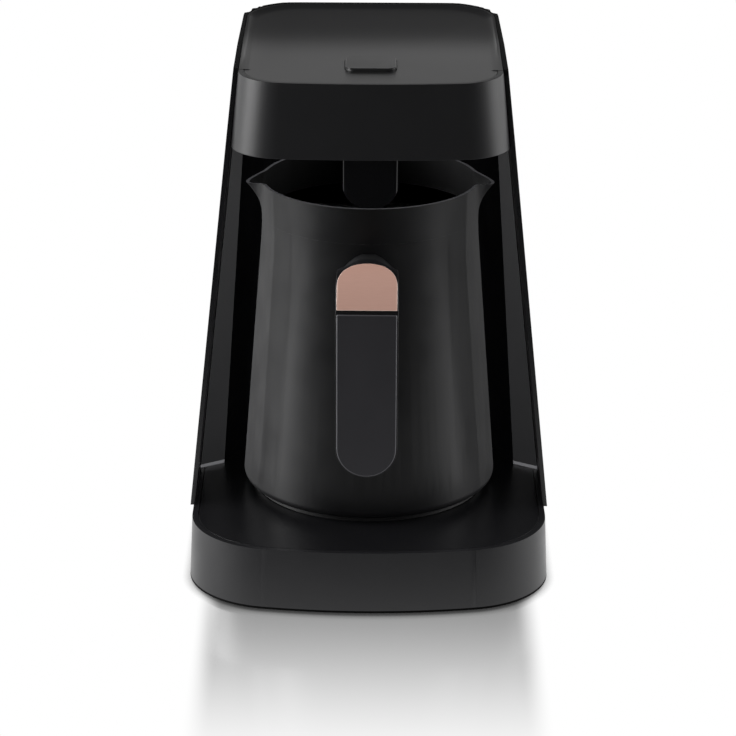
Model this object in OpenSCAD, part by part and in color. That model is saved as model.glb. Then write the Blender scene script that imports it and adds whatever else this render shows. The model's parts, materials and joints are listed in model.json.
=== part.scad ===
// Electric Turkish coffee maker: a tapered stand with a brewing chamber and a
// double-walled pot that slides straight out of it to the front.
// Millimetres. +Z is up, the front is -Y, and the origin is the centre of the
// footprint on the worktop.

/* [Base] */
// Width of the base at its foot
base_w = 150.4; // [144:0.2:160]
// Depth of the base, front to back
base_d = 172; // [164:1:184]
// Height of the base moulding, without its feet
base_h = 25.5; // [22:0.5:34]
// Corner radius at the front of the base
base_front_r = 38; // [26:1:42]
// Corner radius at the back of the base
base_rear_r = 33; // [22:1:38]
// Radius of the gentle bow across the front of the base
base_bow_r = 240; // [200:5:320]
// How far each side of the base leans in from foot to top
base_draft = 1.1; // [0.4:0.1:2]
// How far the front of the base leans in from foot to top
base_front_draft = 2.6; // [1:0.1:4]
// Wall of the base skirt at its top edge
skirt_wall = 2.4; // [2:0.1:3]
// Width of the ledge inside the skirt that carries the deck
ledge_w = 2.2; // [1.6:0.1:3.4]
// Thickness of the deck plate
deck_t = 2.4; // [1.8:0.1:3.4]
// Thickness of the bottom plate
floor_t = 2.4; // [1.8:0.1:3]
// Height that the feet lift the base moulding
foot_lift = 1.5; // [1:0.1:3]
// Radius of a rubber foot
foot_r = 8; // [6:0.5:10]

/* [Tower] */
// Height of the tower shell above the deck
tower_h = 192.5; // [188:0.5:206]
// How far each side of the shell's foot stands out past the base
shell_over_base = 0.3; // [0.1:0.1:1]
// Width of the shell at its top rim
shell_top_w = 109.6; // [108:0.2:118]
// Wall of the shell
shell_wall = 1.8; // [1.4:0.1:2.2]
// Rear corner radius of the shell at its foot
shell_corner_r = 33; // [26:1:40]
// Radius that rounds the shell over from back to top
shell_crown_r = 16; // [10:1:20]
// Front edge of the shell at the deck, measured from the back
shell_reach_foot = 119; // [110:1:122]
// Front edge of the shell at the head, measured from the back
shell_reach_head = 129; // [124:1:134]
// Fall of the shell's rim from its back to its front end
rim_fall = 1.2; // [0.6:0.1:2]

/* [Chamber] */
// Space between the shell and the chamber at the deck
chamber_foot_gap = 8.3; // [7:0.1:9.3]
// Space between the shell and the chamber at the underside of the head
chamber_head_gap = 2.6; // [2:0.1:3]
// Outer edge of the slanted side cheeks, measured from the back
cheek_reach = 78; // [74:0.5:82]
// Wall of the chamber liner
liner_wall = 2; // [1.4:0.1:2.4]

/* [Head] */
// Height of the head from its underside to the shell's rim
head_h = 32.5; // [30:0.5:38]
// Front of the head, measured from the back of the shell
head_reach = 148; // [144:1:156]
// Corner radius at the front of the head
head_corner_r = 21; // [16:1:26]
// Radius of the bow across the front of the head
head_bow_r = 400; // [300:10:600]
// Wall of the fascia
fascia_wall = 2.2; // [1.8:0.1:2.8]
// Thickness of the top panel and of the plate under the head
panel_t = 2.2; // [1.8:0.1:2.6]
// Radius of the hollow along the sides of the top panel
dish_r = 7; // [4:0.5:9]

/* [Button] */
// Width of the button
button_w = 20.6; // [16:0.2:26]
// Length of the button, front to back
button_l = 21.4; // [16:0.2:26]
// Corner radius of the button
button_r = 4; // [2.5:0.1:6]
// How far the button stands above the panel
button_proud = 1.2; // [1:0.1:2]
// Travel of the button
button_travel = 0.9; // [0.5:0.1:1]
// Distance from the front of the head to the middle of the button
button_back = 32; // [28:0.5:40]

/* [Sensor nose] */
// Width of the nose under the head
nose_w = 22.4; // [18:0.2:28]
// Depth of the nose, front to back
nose_d = 34; // [28:1:40]
// How far the nose hangs below the head
nose_drop = 21.5; // [14:0.5:22]
// Radius of the nose's lower corners
nose_r = 10; // [5:0.5:11]
// Radius of the sensor window
window_r = 5; // [3.5:0.1:6]

/* [Pot] */
// Radius of the pot at its foot
pot_foot_r = 54; // [52:0.1:55]
// Radius of the pot's neck
pot_neck_r = 45.3; // [43.5:0.1:46.5]
// Height of the pot from the deck to its rim
pot_h = 135.5; // [130:0.5:136.5]
// Height above the deck at which the taper ends in the neck
pot_neck_h = 114; // [108:1:116]
// Rounding of the pot's lower edge
pot_edge_r = 4; // [2:0.5:6]
// Wall of the outer jacket
jacket_wall = 1.8; // [1.4:0.1:2.2]
// Air gap between the jacket and the steel liner
air_gap = 2.2; // [1.8:0.1:2.8]
// Wall of the steel liner
steel_t = 0.8; // [0.6:0.1:1]
// How far each pouring lip reaches out from the neck
spout_reach = 6.3; // [4:0.1:7.5]
// Half the angle that a pouring lip takes up at the rim
spout_half_angle = 15; // [11:0.5:20]
// How far each pouring lip dips below the rim
spout_dip = 2; // [0.5:0.1:3]
// Distance from the back of the shell to the axis of the pot
pot_back = 88; // [87:0.5:90]

/* [Handle] */
// Width of the handle
handle_w = 25; // [20:0.5:30]
// Distance from the pot's axis to the front of the grip
handle_reach = 82; // [80:0.5:83.5]
// Height of the top of the handle above the deck
handle_top_h = 120; // [112:0.5:121]
// Height of the grip's free end above the deck
handle_low_h = 33.5; // [26:0.5:45]
// Thickness of the grip
grip_t = 9; // [7:0.5:12]
// Height of the arm that joins the grip to the pot
arm_h = 14; // [12:0.5:18]
// Radius of the bend from the arm to the grip
bend_r = 22; // [16:0.5:26]
// Border that the handle leaves around its inlays
inlay_border = 1.1; // [0.7:0.1:2]
// Thickness of the inlays on the handle
inlay_t = 1.6; // [1:0.1:2.4]
// Height of the seam between the two inlays, above the deck
seam_h = 104; // [92:0.5:106]
// Width of the seam between the two inlays
seam_w = 1.2; // [0.6:0.1:2]

/* [Fits] */
// Gap between two mouldings that sit in each other
fit_gap = 0.25; // [0.15:0.05:0.35]
// Gap under the pot, which lets it slide
slide_gap = 0.3; // [0.25:0.05:0.5]
// Radius of a screw's core
screw_r = 1.4; // [1.2:0.1:1.6]
// Radius of the bore in the cord bush
cord_bore_r = 3.6; // [3:0.1:4.2]

/* [Hidden] */

$fn = 96;
bow_fn = 360;
eps = 0.01;
big = 400;

// Heights
deck_z = foot_lift + base_h;
top_z = deck_z + tower_h;
head_z = top_z - head_h;
under_lip = 1.4;
fascia_top_z = top_z - rim_fall - 0.3;
panel_z = fascia_top_z - 0.2;
panel_low_z = panel_z - panel_t;

// Places from back to front
back_y = base_d / 2;
front_y = -base_d / 2;
head_front_y = back_y - head_reach;
cheek_y = back_y - cheek_reach;
pot_y = back_y - pot_back;
shell_mouth_y = back_y - shell_reach_head;
rim_front_y = shell_mouth_y + 4.5;

// Width of the shell where it stands on the base
shell_foot_w = base_w + 2 * shell_over_base;
// Half width of the shell at height z
function shell_half(z) = shell_foot_w / 2
    + (shell_top_w - shell_foot_w) / 2 * (z - deck_z) / tower_h;
chamber_foot_r = shell_foot_w / 2 - shell_wall - chamber_foot_gap;
chamber_head_r = shell_half(head_z) - shell_wall - chamber_head_gap;
// Radius of the chamber at height z
function chamber_r(z) = chamber_foot_r
    + (chamber_head_r - chamber_foot_r) * (z - deck_z) / (head_z - deck_z);

// ---------------------------------------------------------------- outlines

// Plan outline with a bowed front and its own front and rear corner radii
module bowed_plan(w, front, back, rf, rb, bow) {
    corner_x = w / 2 - rf;
    bow_y = front + bow;
    corner_y = bow_y - sqrt(pow(bow - rf, 2) - pow(corner_x, 2));
    touch_x = corner_x * bow / (bow - rf);
    for (side = [-1, 1]) {
        translate([side * corner_x, corner_y]) circle(r = rf);
        translate([side * (w / 2 - rb), back - rb]) circle(r = rb);
    }
    intersection() {
        translate([0, bow_y]) circle(r = bow, $fn = bow_fn);
        translate([-touch_x, front - 1]) square([2 * touch_x, corner_y - front + 1 + eps]);
    }
    translate([-w / 2, corner_y]) square([w, back - rb - corner_y]);
    translate([rb - w / 2, corner_y]) square([w - 2 * rb, back - corner_y]);
}

// Rectangle about the origin with rounded corners
module rounded_plan(w, l, r) {
    square([w - 2 * r, l], center = true);
    square([w, l - 2 * r], center = true);
    for (x = [-1, 1], y = [-1, 1])
        translate([x * (w / 2 - r), y * (l / 2 - r)]) circle(r = r);
}

// Slot about the origin with round ends
module slot_plan(w, l) {
    square([w - l, l], center = true);
    for (x = [-1, 1]) translate([x * (w - l) / 2, 0]) circle(d = l);
}

// Base outline at its foot, inset evenly
module base_foot_plan(inset = 0) {
    bowed_plan(base_w - 2 * inset, front_y + inset, back_y - inset,
        base_front_r - inset, base_rear_r - inset, base_bow_r - inset);
}

// Base outline at its top edge, inset evenly
module base_top_plan(inset = 0) {
    bowed_plan(base_w - 2 * base_draft - 2 * inset, front_y + base_front_draft + inset,
        back_y - inset, base_front_r - inset, base_rear_r - inset, base_bow_r - inset);
}

// Extrudes a side view, drawn with x to the back and y up, across the width
module across(w) {
    rotate([90, 0, 90]) linear_extrude(height = w, center = true) children();
}

// Extrudes a front view, drawn with x to the right and y up, from front to back
module along(front, back) {
    translate([0, back, 0]) rotate([90, 0, 0]) linear_extrude(height = back - front) children();
}

// Solid between two outlines with the same number of corners
module between(low, high, z_low, z_high) {
    n = len(low);
    polyhedron(
        points = concat([for (p = low) [p.x, p.y, z_low]], [for (p = high) [p.x, p.y, z_high]]),
        faces = concat([[for (i = [0:n - 1]) i]], [[for (i = [n - 1:-1:0]) n + i]],
            [for (i = [0:n - 1]) [i, n + i, n + (i + 1) % n, (i + 1) % n]]));
}

// Mirrors its child to both sides
module both_sides() {
    children();
    mirror([1, 0, 0]) children();
}

// Screw with a pan head below its shank, pointing up
module screw_up(shank_r, shank_l, head_r = 2.8, head_l = 1.6) {
    cylinder(r = shank_r, h = shank_l);
    difference() {
        translate([0, 0, -head_l]) cylinder(r = head_r, h = head_l);
        for (a = [0, 90])
            rotate(a) translate([-head_r * 0.6, -0.3, -head_l - eps])
                cube([head_r * 1.2, 0.6, 0.8]);
    }
}

// Round wire along a list of points, with mitred bends
wire_sides = 12;
function unit(v) = v / norm(v);
function heading(points, i) = unit(points[i + 1] - points[i]);
function mitre(points, i) = i == len(points) - 1 ? heading(points, i - 1)
    : unit(heading(points, i - 1) + heading(points, i));
function first_ring(points, r) = let (d = heading(points, 0),
    u = unit(cross(d, abs(d.z) < 0.9 ? [0, 0, 1] : [1, 0, 0])), v = cross(d, u))
    [for (k = [0:wire_sides - 1]) let (a = 360 * k / wire_sides)
        points[0] + r * (cos(a) * u + sin(a) * v)];
function next_ring(points, i, ring) = let (d = heading(points, i - 1), m = mitre(points, i))
    [for (q = ring) q + d * (((points[i] - q) * m) / (d * m))];
function rings_from(points, i, ring) = i == len(points) ? []
    : let (moved = next_ring(points, i, ring)) concat(moved, rings_from(points, i + 1, moved));

module wire(points, r) {
    s = wire_sides;
    last = len(points) - 1;
    start = first_ring(points, r);
    polyhedron(
        points = concat(start, rings_from(points, 1, start)),
        faces = concat([[for (k = [0:s - 1]) k]], [[for (k = [s - 1:-1:0]) last * s + k]],
            [for (i = [0:last - 1], k = [0:s - 1])
                [i * s + k, (i + 1) * s + k, (i + 1) * s + (k + 1) % s, i * s + (k + 1) % s]]));
}

// Coil spring that stands on z = 0, with half a closed turn at each end
module coil(mean_r, wire_r, length, turns, steps = 14, sides = 6) {
    n = turns * steps;
    rise = length - 2 * wire_r;
    function ease(t) = t - sin(360 * t) / 12;
    points = [for (i = [0:n], k = [0:sides - 1])
        let (a = 360 * i / steps, b = 360 * k / sides,
             r = mean_r + wire_r * cos(b))
        [r * cos(a), r * sin(a), wire_r + rise * ease(i / n) + wire_r * sin(b)]];
    faces = concat(
        [[for (k = [0:sides - 1]) k]],
        [[for (k = [sides - 1:-1:0]) n * sides + k]],
        [for (i = [0:n - 1], k = [0:sides - 1])
            [i * sides + k, (i + 1) * sides + k,
             (i + 1) * sides + (k + 1) % sides, i * sides + (k + 1) % sides]]);
    polyhedron(points = points, faces = faces);
}

// -------------------------------------------------------------------- base

ledge_inset = skirt_wall + ledge_w;
ledge_step = 1.2;
screw_head_r = 2.8;
screw_head_l = 1.6;
boss_r = 4;
boss_x = base_w / 2 - 17;
boss_front_y = front_y + 36;
boss_rear_y = back_y - 38;
base_screw_places = [for (x = [-boss_x, boss_x], y = [boss_front_y, boss_rear_y]) [x, y]];
foot_x = base_w / 2 - 23;
foot_places = [for (x = [-foot_x, foot_x], y = [front_y + 25, back_y - 20]) [x, y]];
foot_pocket = 0.9;

// Cord bush and its seat in the skirt's back wall
bush_z = foot_lift + base_h / 2;
bush_pad = 7;
bush_flange_r = cord_bore_r + 4.8;
bush_flange_t = 1.6;
bush_neck_r = cord_bore_r + 2.4;
bush_recess = bush_flange_t + 0.3;

module skirt_body() {
    k = [(base_w - 2 * base_draft) / base_w, (base_d - base_front_draft) / base_d];
    translate([0, back_y, foot_lift])
        linear_extrude(height = base_h, scale = k, slices = 1)
            translate([0, -back_y]) base_foot_plan();
}

module base_skirt() {
    color("#3b3b3e") difference() {
        union() {
            difference() {
                skirt_body();
                translate([0, 0, foot_lift - eps])
                    linear_extrude(height = base_h) base_top_plan(ledge_inset);
                translate([0, 0, deck_z - deck_t])
                    linear_extrude(height = deck_t + 1) base_top_plan(skirt_wall);
                translate([0, 0, foot_lift - eps])
                    linear_extrude(height = floor_t + eps)
                        base_top_plan(ledge_inset - ledge_step);
            }
            // Screw bosses, each tied to the wall by a rib
            for (p = base_screw_places) {
                translate([p.x, p.y, foot_lift + floor_t])
                    cylinder(r = boss_r, h = base_h - floor_t - deck_t);
                translate([min(p.x, sign(p.x) * (base_w / 2 - base_draft - 3)), p.y - 1.2,
                        foot_lift + floor_t])
                    cube([base_w / 2 - base_draft - 3 - boss_x, 2.4,
                        base_h - floor_t - deck_t]);
            }
            // Pad behind the cord bush
            translate([-bush_flange_r - 2, back_y - bush_pad, foot_lift + floor_t])
                cube([2 * bush_flange_r + 4, bush_pad - skirt_wall / 2,
                    base_h - floor_t - deck_t]);
        }
        for (p = base_screw_places)
            translate([p.x, p.y, foot_lift - eps]) cylinder(r = screw_r, h = base_h - deck_t - 2);
        translate([0, back_y + eps, bush_z]) rotate([90, 0, 0]) {
            cylinder(r = bush_neck_r + 0.1, h = bush_pad + 1);
            cylinder(r = bush_flange_r + fit_gap, h = bush_recess + eps);
        }
    }
}

module cord_bush() {
    color("#151516") translate([0, back_y - 0.3, bush_z]) rotate([90, 0, 0])
        difference() {
            union() {
                cylinder(r = bush_flange_r, h = bush_flange_t);
                cylinder(r = bush_neck_r, h = bush_pad - 0.3);
                translate([0, 0, bush_pad - 0.3])
                    cylinder(r = bush_neck_r + 1.4, h = 1.8);
            }
            translate([0, 0, -eps]) cylinder(r = cord_bore_r, h = bush_pad + 2);
        }
}

module base_plate() {
    vent_n = 7;
    vent_pitch = 8;
    color("#1c1c1e") difference() {
        union() {
            translate([0, 0, foot_lift]) linear_extrude(height = floor_t)
                base_top_plan(ledge_inset - ledge_step + fit_gap);
            // Collars that seat the feet, clear of the skirt's ledge and bosses
            intersection() {
                for (p = foot_places) translate([p.x, p.y, foot_lift + floor_t - eps])
                    cylinder(r = foot_r + 1.5, h = 1);
                translate([0, 0, foot_lift]) linear_extrude(height = floor_t + 2) difference() {
                    base_top_plan(ledge_inset + fit_gap);
                    for (p = base_screw_places) translate([p.x, p.y])
                        circle(r = boss_r + fit_gap);
                }
            }
        }
        for (p = base_screw_places) translate([p.x, p.y, foot_lift - eps]) {
            cylinder(r = screw_r + 0.3, h = floor_t + 1);
            cylinder(r = screw_head_r + 0.3, h = screw_head_l + 2 * eps);
        }
        for (p = foot_places) translate([p.x, p.y, foot_lift - eps])
            cylinder(r = foot_r + 0.1, h = foot_pocket + eps);
        // Air slots
        for (i = [0:vent_n - 1]) translate([0, (i - (vent_n - 1) / 2) * vent_pitch, foot_lift - eps])
            linear_extrude(height = floor_t + 1) slot_plan(44, 3);
    }
}

module rubber_feet() {
    color("#0e0e0f") for (p = foot_places) translate([p.x, p.y, 0])
        rotate_extrude()
            polygon([[0, 0], [foot_r - 1, 0], [foot_r, 0.8], [foot_r, foot_lift + foot_pocket],
                [0, foot_lift + foot_pocket]]);
}

module base_screws() {
    color("silver") for (p = base_screw_places)
        translate([p.x, p.y, foot_lift + screw_head_l])
            screw_up(screw_r - 0.05, 11, screw_head_r, screw_head_l - 0.3);
}

// Contact block in the deck, with three sprung pins
contact_y = pot_y + 16;
contact_pitch = 10;
contact_w = 34;
contact_l = 16;
contact_h = 12;
contact_flange = 7;
pin_r = 1.8;
pin_x = [-contact_pitch, 0, contact_pitch];
pin_top_z = deck_z + slide_gap - 0.1;
pin_l = 5;
pin_collar_r = 2.6;
contact_cup_r = pin_collar_r + 0.15;

// Screws up through the deck into the tower
tower_boss_r = 4.2;
liner_boss_x = 26;
liner_boss_y = pot_y + sqrt(pow(chamber_foot_r + liner_wall + 1, 2) - pow(liner_boss_x, 2)) + 1.6;
shell_boss_x = shell_half(deck_z) - shell_corner_r - 8;
shell_boss_y = back_y - skirt_wall - ledge_w - screw_head_r - 0.6;
tower_screw_places = concat(
    [for (x = [-liner_boss_x, liner_boss_x]) [x, liner_boss_y]],
    [for (x = [-shell_boss_x, shell_boss_x]) [x, shell_boss_y]]);
tower_screw_l = 12;
harness_r = 1.4;
harness_x = 8;
harness_y = back_y - 10.5;
terminal_x = -26;
terminal_y = back_y - 34;
terminal_pitch = 6.6;
terminal_h = 11;
terminal_wire_z = foot_lift + floor_t + terminal_h - 6;

module base_deck() {
    color("#232326") difference() {
        union() {
            translate([0, 0, deck_z - deck_t]) linear_extrude(height = deck_t)
                base_top_plan(skirt_wall + fit_gap);
            // Posts that take the contact block's screws
            for (x = [-1, 1]) translate([x * (contact_w / 2 + contact_flange / 2), contact_y,
                    deck_z - deck_t - 6])
                cylinder(r = 2.6, h = 6 + eps);
        }
        translate([0, contact_y, deck_z - deck_t - 1]) linear_extrude(height = deck_t + 2)
            rounded_plan(contact_w + 2 * fit_gap, contact_l + 2 * fit_gap, 3);
        for (x = [-1, 1]) translate([x * (contact_w / 2 + contact_flange / 2), contact_y,
                deck_z - deck_t - 7])
            cylinder(r = 1, h = 7);
        for (p = tower_screw_places) translate([p.x, p.y, deck_z - deck_t - 1])
            cylinder(r = screw_r + 0.3, h = deck_t + 2);
        translate([harness_x, harness_y, deck_z - deck_t - 1])
            cylinder(r = harness_r + 1, h = deck_t + 2);
    }
}

module contact_block() {
    low = deck_z - contact_h;
    color("#141415") difference() {
        union() {
            translate([0, contact_y, low]) linear_extrude(height = contact_h)
                rounded_plan(contact_w, contact_l, 2.8);
            translate([0, contact_y, deck_z - deck_t - 6 - 2.2]) linear_extrude(height = 2)
                rounded_plan(contact_w + 2 * contact_flange + 1, contact_l - 4, 2);
        }
        for (x = pin_x) translate([x, contact_y, low]) {
            translate([0, 0, 2]) cylinder(r = contact_cup_r, h = contact_h - 3.2);
            cylinder(r = pin_r + 0.05, h = contact_h + 1);
        }
        for (x = [-1, 1]) translate([x * (contact_w / 2 + contact_flange / 2), contact_y, 0])
            cylinder(r = 1.3, h = deck_z);
    }
}

module contact_pins() {
    collar_z = deck_z - 1.2 - 0.1;
    color("#c9a24a") for (x = pin_x) translate([x, contact_y, 0]) {
        translate([0, 0, collar_z - 1]) cylinder(r = pin_collar_r, h = 1);
        translate([0, 0, collar_z - eps])
            cylinder(r = pin_r, h = pin_top_z - collar_z + eps - 0.4);
        translate([0, 0, pin_top_z - 0.4 - eps])
            cylinder(r1 = pin_r, r2 = pin_r - 0.5, h = 0.4 + eps);
        translate([0, 0, collar_z - pin_l]) cylinder(r = 0.9, h = pin_l - 1 + eps);
    }
}

module contact_springs() {
    low = deck_z - contact_h + 2;
    color("#b9bcc0") for (x = pin_x) translate([x, contact_y, low + 0.02])
        coil(1.75, 0.3, deck_z - 1.3 - 1 - low - 0.05, 4, 12, 5);
}

module contact_screws() {
    color("silver") for (x = [-1, 1])
        translate([x * (contact_w / 2 + contact_flange / 2), contact_y, deck_z - deck_t - 8.3])
            screw_up(0.95, 6.4, 2, 1.3);
}

module mains_terminal() {
    w = 22;
    l = 12;
    color("#d8d8d2") translate([terminal_x, terminal_y, 0]) difference() {
        translate([-w / 2, -l / 2, foot_lift + floor_t]) cube([w, l, terminal_h]);
        for (i = [-1:1]) translate([i * terminal_pitch, 0, terminal_wire_z]) {
            cylinder(r = 2.2, h = terminal_h);
            rotate([90, 0, 0]) cylinder(r = harness_r + 0.3, h = l + 2, center = true);
        }
    }
}

// ------------------------------------------------------------------- tower

// Plan of the tower at the deck, inset evenly, running on past its front edge
module tower_plan(inset) {
    half = shell_foot_w / 2 - inset;
    rear = back_y - inset;
    r = shell_corner_r - inset;
    ahead = front_y + 10;
    translate([-half, ahead]) square([2 * half, rear - r - ahead]);
    translate([r - half, ahead]) square([2 * (half - r), rear - ahead]);
    for (side = [-1, 1]) translate([side * (half - r), rear - r]) circle(r = r);
}

// The tower's block: it narrows to the top, and keeps its back upright. It can
// run on past both ends.
module tower_block(inset, over = 0) {
    low = shell_half(deck_z - over) - inset;
    high = shell_half(top_z + over) - inset;
    middle = shell_foot_w / 2 - inset;
    translate([0, 0, deck_z - over])
        linear_extrude(height = tower_h + 2 * over, scale = [high / low, 1], slices = 1)
            scale([low / middle, 1]) tower_plan(inset);
}

// Side view of the shell: its slanted front edge, falling rim and round crown
module shell_side(inset, mouth) {
    back = back_y - inset;
    top = top_z - inset;
    crown = shell_crown_r - inset;
    intersection() {
        polygon([[back_y - shell_reach_foot - mouth, deck_z - mouth],
            [shell_mouth_y - mouth, head_z], [rim_front_y - mouth, top - rim_fall],
            [pot_y, top], [back, top], [back, deck_z - mouth]]);
        union() {
            translate([back - crown, top - crown]) circle(r = crown);
            translate([-big, -big / 2]) square([big + back - crown, big / 2 + top + 1]);
            translate([-big, -big / 2]) square([big + back, big / 2 + top - crown]);
        }
    }
}

// Opening in the top of the shell that the panel drops into
rim_back = 14;
opening_r = 25;

module panel_plan(inset) {
    half = shell_half(top_z) - shell_wall - inset;
    rear = back_y - rim_back - inset;
    r = opening_r - inset;
    translate([-half, rim_front_y]) square([2 * half, rear - r - rim_front_y]);
    translate([r - half, rim_front_y]) square([2 * (half - r), rear - rim_front_y]);
    for (side = [-1, 1]) translate([side * (half - r), rear - r]) circle(r = r);
}

shell_boss_h = 18;
board_z = 96;
board_h = 78;
board_w = 74;
board_t = 1.6;
// Tall parts on the board, measured down from its top edge
transformer_drop = 20;
relay_drop = 30;
board_y = back_y - shell_wall - 5.5;
board_screw_places = [for (x = [-board_w / 2 + 5, board_w / 2 - 5],
    z = [board_z + 5, board_z + board_h - 5]) [x, z]];

module rear_shell() {
    color("#1a1a1c") difference() {
        union() {
            difference() {
                intersection() {
                    tower_block(0, 1);
                    across(big) shell_side(0, 0);
                }
                intersection() {
                    tower_block(shell_wall, 1);
                    across(big) shell_side(shell_wall, 6);
                }
                intersection() {
                    tower_block(shell_wall, 1);
                    translate([0, 0, top_z - shell_wall - 6])
                        linear_extrude(height = shell_wall + 8) {
                            panel_plan(0);
                            translate([-big / 2, -big / 2])
                                square([big, big / 2 + rim_front_y + 0.1]);
                        }
                }
            }
            // Bosses for the tower screws
            for (x = [-shell_boss_x, shell_boss_x]) {
                translate([x, shell_boss_y, deck_z]) cylinder(r = tower_boss_r, h = shell_boss_h);
                translate([x - 1, shell_boss_y, deck_z])
                    cube([2, back_y - shell_wall / 2 - shell_boss_y, shell_boss_h]);
            }
            // Standoffs for the power board
            for (p = board_screw_places) translate([p.x, back_y - shell_wall / 2, p.y])
                rotate([90, 0, 0])
                    cylinder(r = 3.2, h = back_y - shell_wall / 2 - board_y - board_t);
        }
        for (x = [-shell_boss_x, shell_boss_x])
            translate([x, shell_boss_y, deck_z - 1]) cylinder(r = screw_r, h = shell_boss_h - 1);
        for (p = board_screw_places) translate([p.x, board_y, p.y])
            rotate([-90, 0, 0]) cylinder(r = 1.1, h = 6);
    }
}

liner_top_z = head_z + under_lip - fit_gap;
cheek_run = 16;
cheek_fall = 10;
cheek_length = norm([cheek_run, cheek_fall]);

// Outline of the right-hand cheek at height z: a plate that slants back from the shell
function cheek_plan(z) =
    let (x = shell_half(z) - shell_wall - fit_gap, y = cheek_y,
         w = liner_wall * cheek_length / cheek_run)
    [[x, y], [x, y + w], [x - cheek_run, y + cheek_fall + w], [x - cheek_run, y + cheek_fall]];

// Outline of all that lies behind the cheeks' front faces at height z, a touch
// inside their outer edges
function behind_cheeks(z) =
    let (x = shell_half(z) - shell_wall - fit_gap, y = cheek_y + 0.4, in = 0.1)
    [[in - x, y + in * cheek_fall / cheek_run], [cheek_run - x, y + cheek_fall],
     [x - cheek_run, y + cheek_fall], [x - in, y + in * cheek_fall / cheek_run],
     [x - in, back_y], [in - x, back_y]];

// The chamber's taper, widened by a wall and run on past both ends
module chamber_taper(wall, over) {
    low = deck_z - over;
    high = liner_top_z + over;
    translate([0, pot_y, low])
        cylinder(r1 = chamber_r(low) + wall, r2 = chamber_r(high) + wall, h = high - low);
}

module chamber_liner() {
    boss_h = 20;
    color("#0b0b0d") difference() {
        union() {
            // Tapered wall round the pot
            intersection() {
                chamber_taper(liner_wall, 0);
                between(behind_cheeks(deck_z - 1), behind_cheeks(liner_top_z + 1),
                    deck_z - 1, liner_top_z + 1);
            }
            // Slanted cheeks out to the shell
            both_sides() between(cheek_plan(deck_z), cheek_plan(liner_top_z), deck_z, liner_top_z);
            // Bosses for the tower screws
            for (x = [-liner_boss_x, liner_boss_x])
                translate([x, liner_boss_y, deck_z]) cylinder(r = tower_boss_r, h = boss_h);
        }
        chamber_taper(0, 1);
        for (x = [-liner_boss_x, liner_boss_x])
            translate([x, liner_boss_y, deck_z - 1]) cylinder(r = screw_r, h = boss_h - 1);
    }
}

module tower_screws() {
    color("silver") for (p = tower_screw_places)
        translate([p.x, p.y, deck_z - deck_t]) screw_up(screw_r - 0.05, tower_screw_l);
}

// ----------------------------------------------------- power board and wires

module power_board() {
    color("#1f5a34") difference() {
        translate([-board_w / 2, board_y, board_z]) cube([board_w, board_t, board_h]);
        for (p = board_screw_places) translate([p.x, board_y - 1, p.y])
            rotate([-90, 0, 0]) cylinder(r = 1.4, h = board_t + 2);
    }
}

module transformer() {
    color("#30302c") translate([-24, board_y, board_z + board_h - transformer_drop]) {
        translate([-9, -9.5, -10]) cube([18, 9.5, 20]);
        for (s = [-1, 1]) translate([0, -6, s * 11.5]) cube([13, 7, 3], center = true);
    }
}

module relay() {
    color("#1d4f7d") translate([0, board_y - 10.5, board_z + board_h - relay_drop])
        cube([20, 10.5, 16]);
}

module capacitors() {
    color("#26262a") for (p = [[-2, 22, 4.5, 10], [11, 25, 4, 9.5], [-16, 22, 3.2, 8]])
        translate([p[0], board_y, board_z + p[1]]) rotate([90, 0, 0]) cylinder(r = p[2], h = p[3]);
}

module board_screws() {
    color("silver") for (p = board_screw_places) translate([p.x, board_y, p.y])
        rotate([-90, 0, 0]) screw_up(1.05, 5, 2.2, 1.3);
}

key_board_z = panel_low_z - 10.5;
key_board_w = 52;
key_board_l = 46;
button_y = head_front_y + button_back;
key_board_y = button_y + 2;

plug_h = 7;
plug_l = board_y - harness_y + harness_r + 1;

// Plug on the power board's front face, with its lower end at height z
module board_plug(z) {
    translate([harness_x - 4, board_y - plug_l, z]) cube([8, plug_l, plug_h]);
}

module wiring_harness() {
    key_end_y = key_board_y + key_board_l / 2 - 8;
    base_wire_z = foot_lift + floor_t + 4;
    color("#7a1f1f") {
        // From the mains terminal to the contact block, along the bottom plate
        wire([[terminal_x + terminal_pitch, terminal_y - 3, terminal_wire_z],
            [terminal_x + terminal_pitch, terminal_y - 14, terminal_wire_z],
            [-4, contact_y + 14, base_wire_z], [0, contact_y + 8, base_wire_z],
            [0, contact_y + 3, base_wire_z + 2],
            [0, contact_y, deck_z - contact_h]], harness_r);
        // From the terminal up through the deck to the power board
        wire([[terminal_x, terminal_y + 3, terminal_wire_z],
            [terminal_x, terminal_y + 10, terminal_wire_z],
            [terminal_x + 6, terminal_y + 16, terminal_wire_z],
            [harness_x - 5, harness_y - 3, terminal_wire_z],
            [harness_x, harness_y, terminal_wire_z + 5],
            [harness_x, harness_y, board_z + 2]], harness_r);
        board_plug(board_z + 1);
        // From the power board up to the key board
        wire([[harness_x, harness_y, board_z + board_h - 3],
            [harness_x, harness_y, key_board_z - 14],
            [harness_x, harness_y - 6, key_board_z - 8],
            [harness_x, key_end_y + 5, key_board_z - 8],
            [harness_x, key_end_y, key_board_z - 3]], harness_r);
        board_plug(board_z + board_h - plug_h - 1);
        translate([harness_x - 5, key_end_y - 3, key_board_z - 5]) cube([10, 6, 5]);
    }
}

// -------------------------------------------------------------------- head

// Front part of the head: a bowed outline that narrows with the shell
module head_block(inset, low = head_z) {
    high = top_z + 1;
    side = shell_wall + fit_gap + inset;
    half = shell_half(low) - side;
    half_top = shell_half(high) - side;
    translate([0, 0, low])
        linear_extrude(height = high - low, scale = [half_top / half, 1], slices = 1)
            hull() bowed_plan(2 * half, head_front_y + inset, pot_y + 20,
                head_corner_r - inset, 1, head_bow_r - inset);
}

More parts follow.
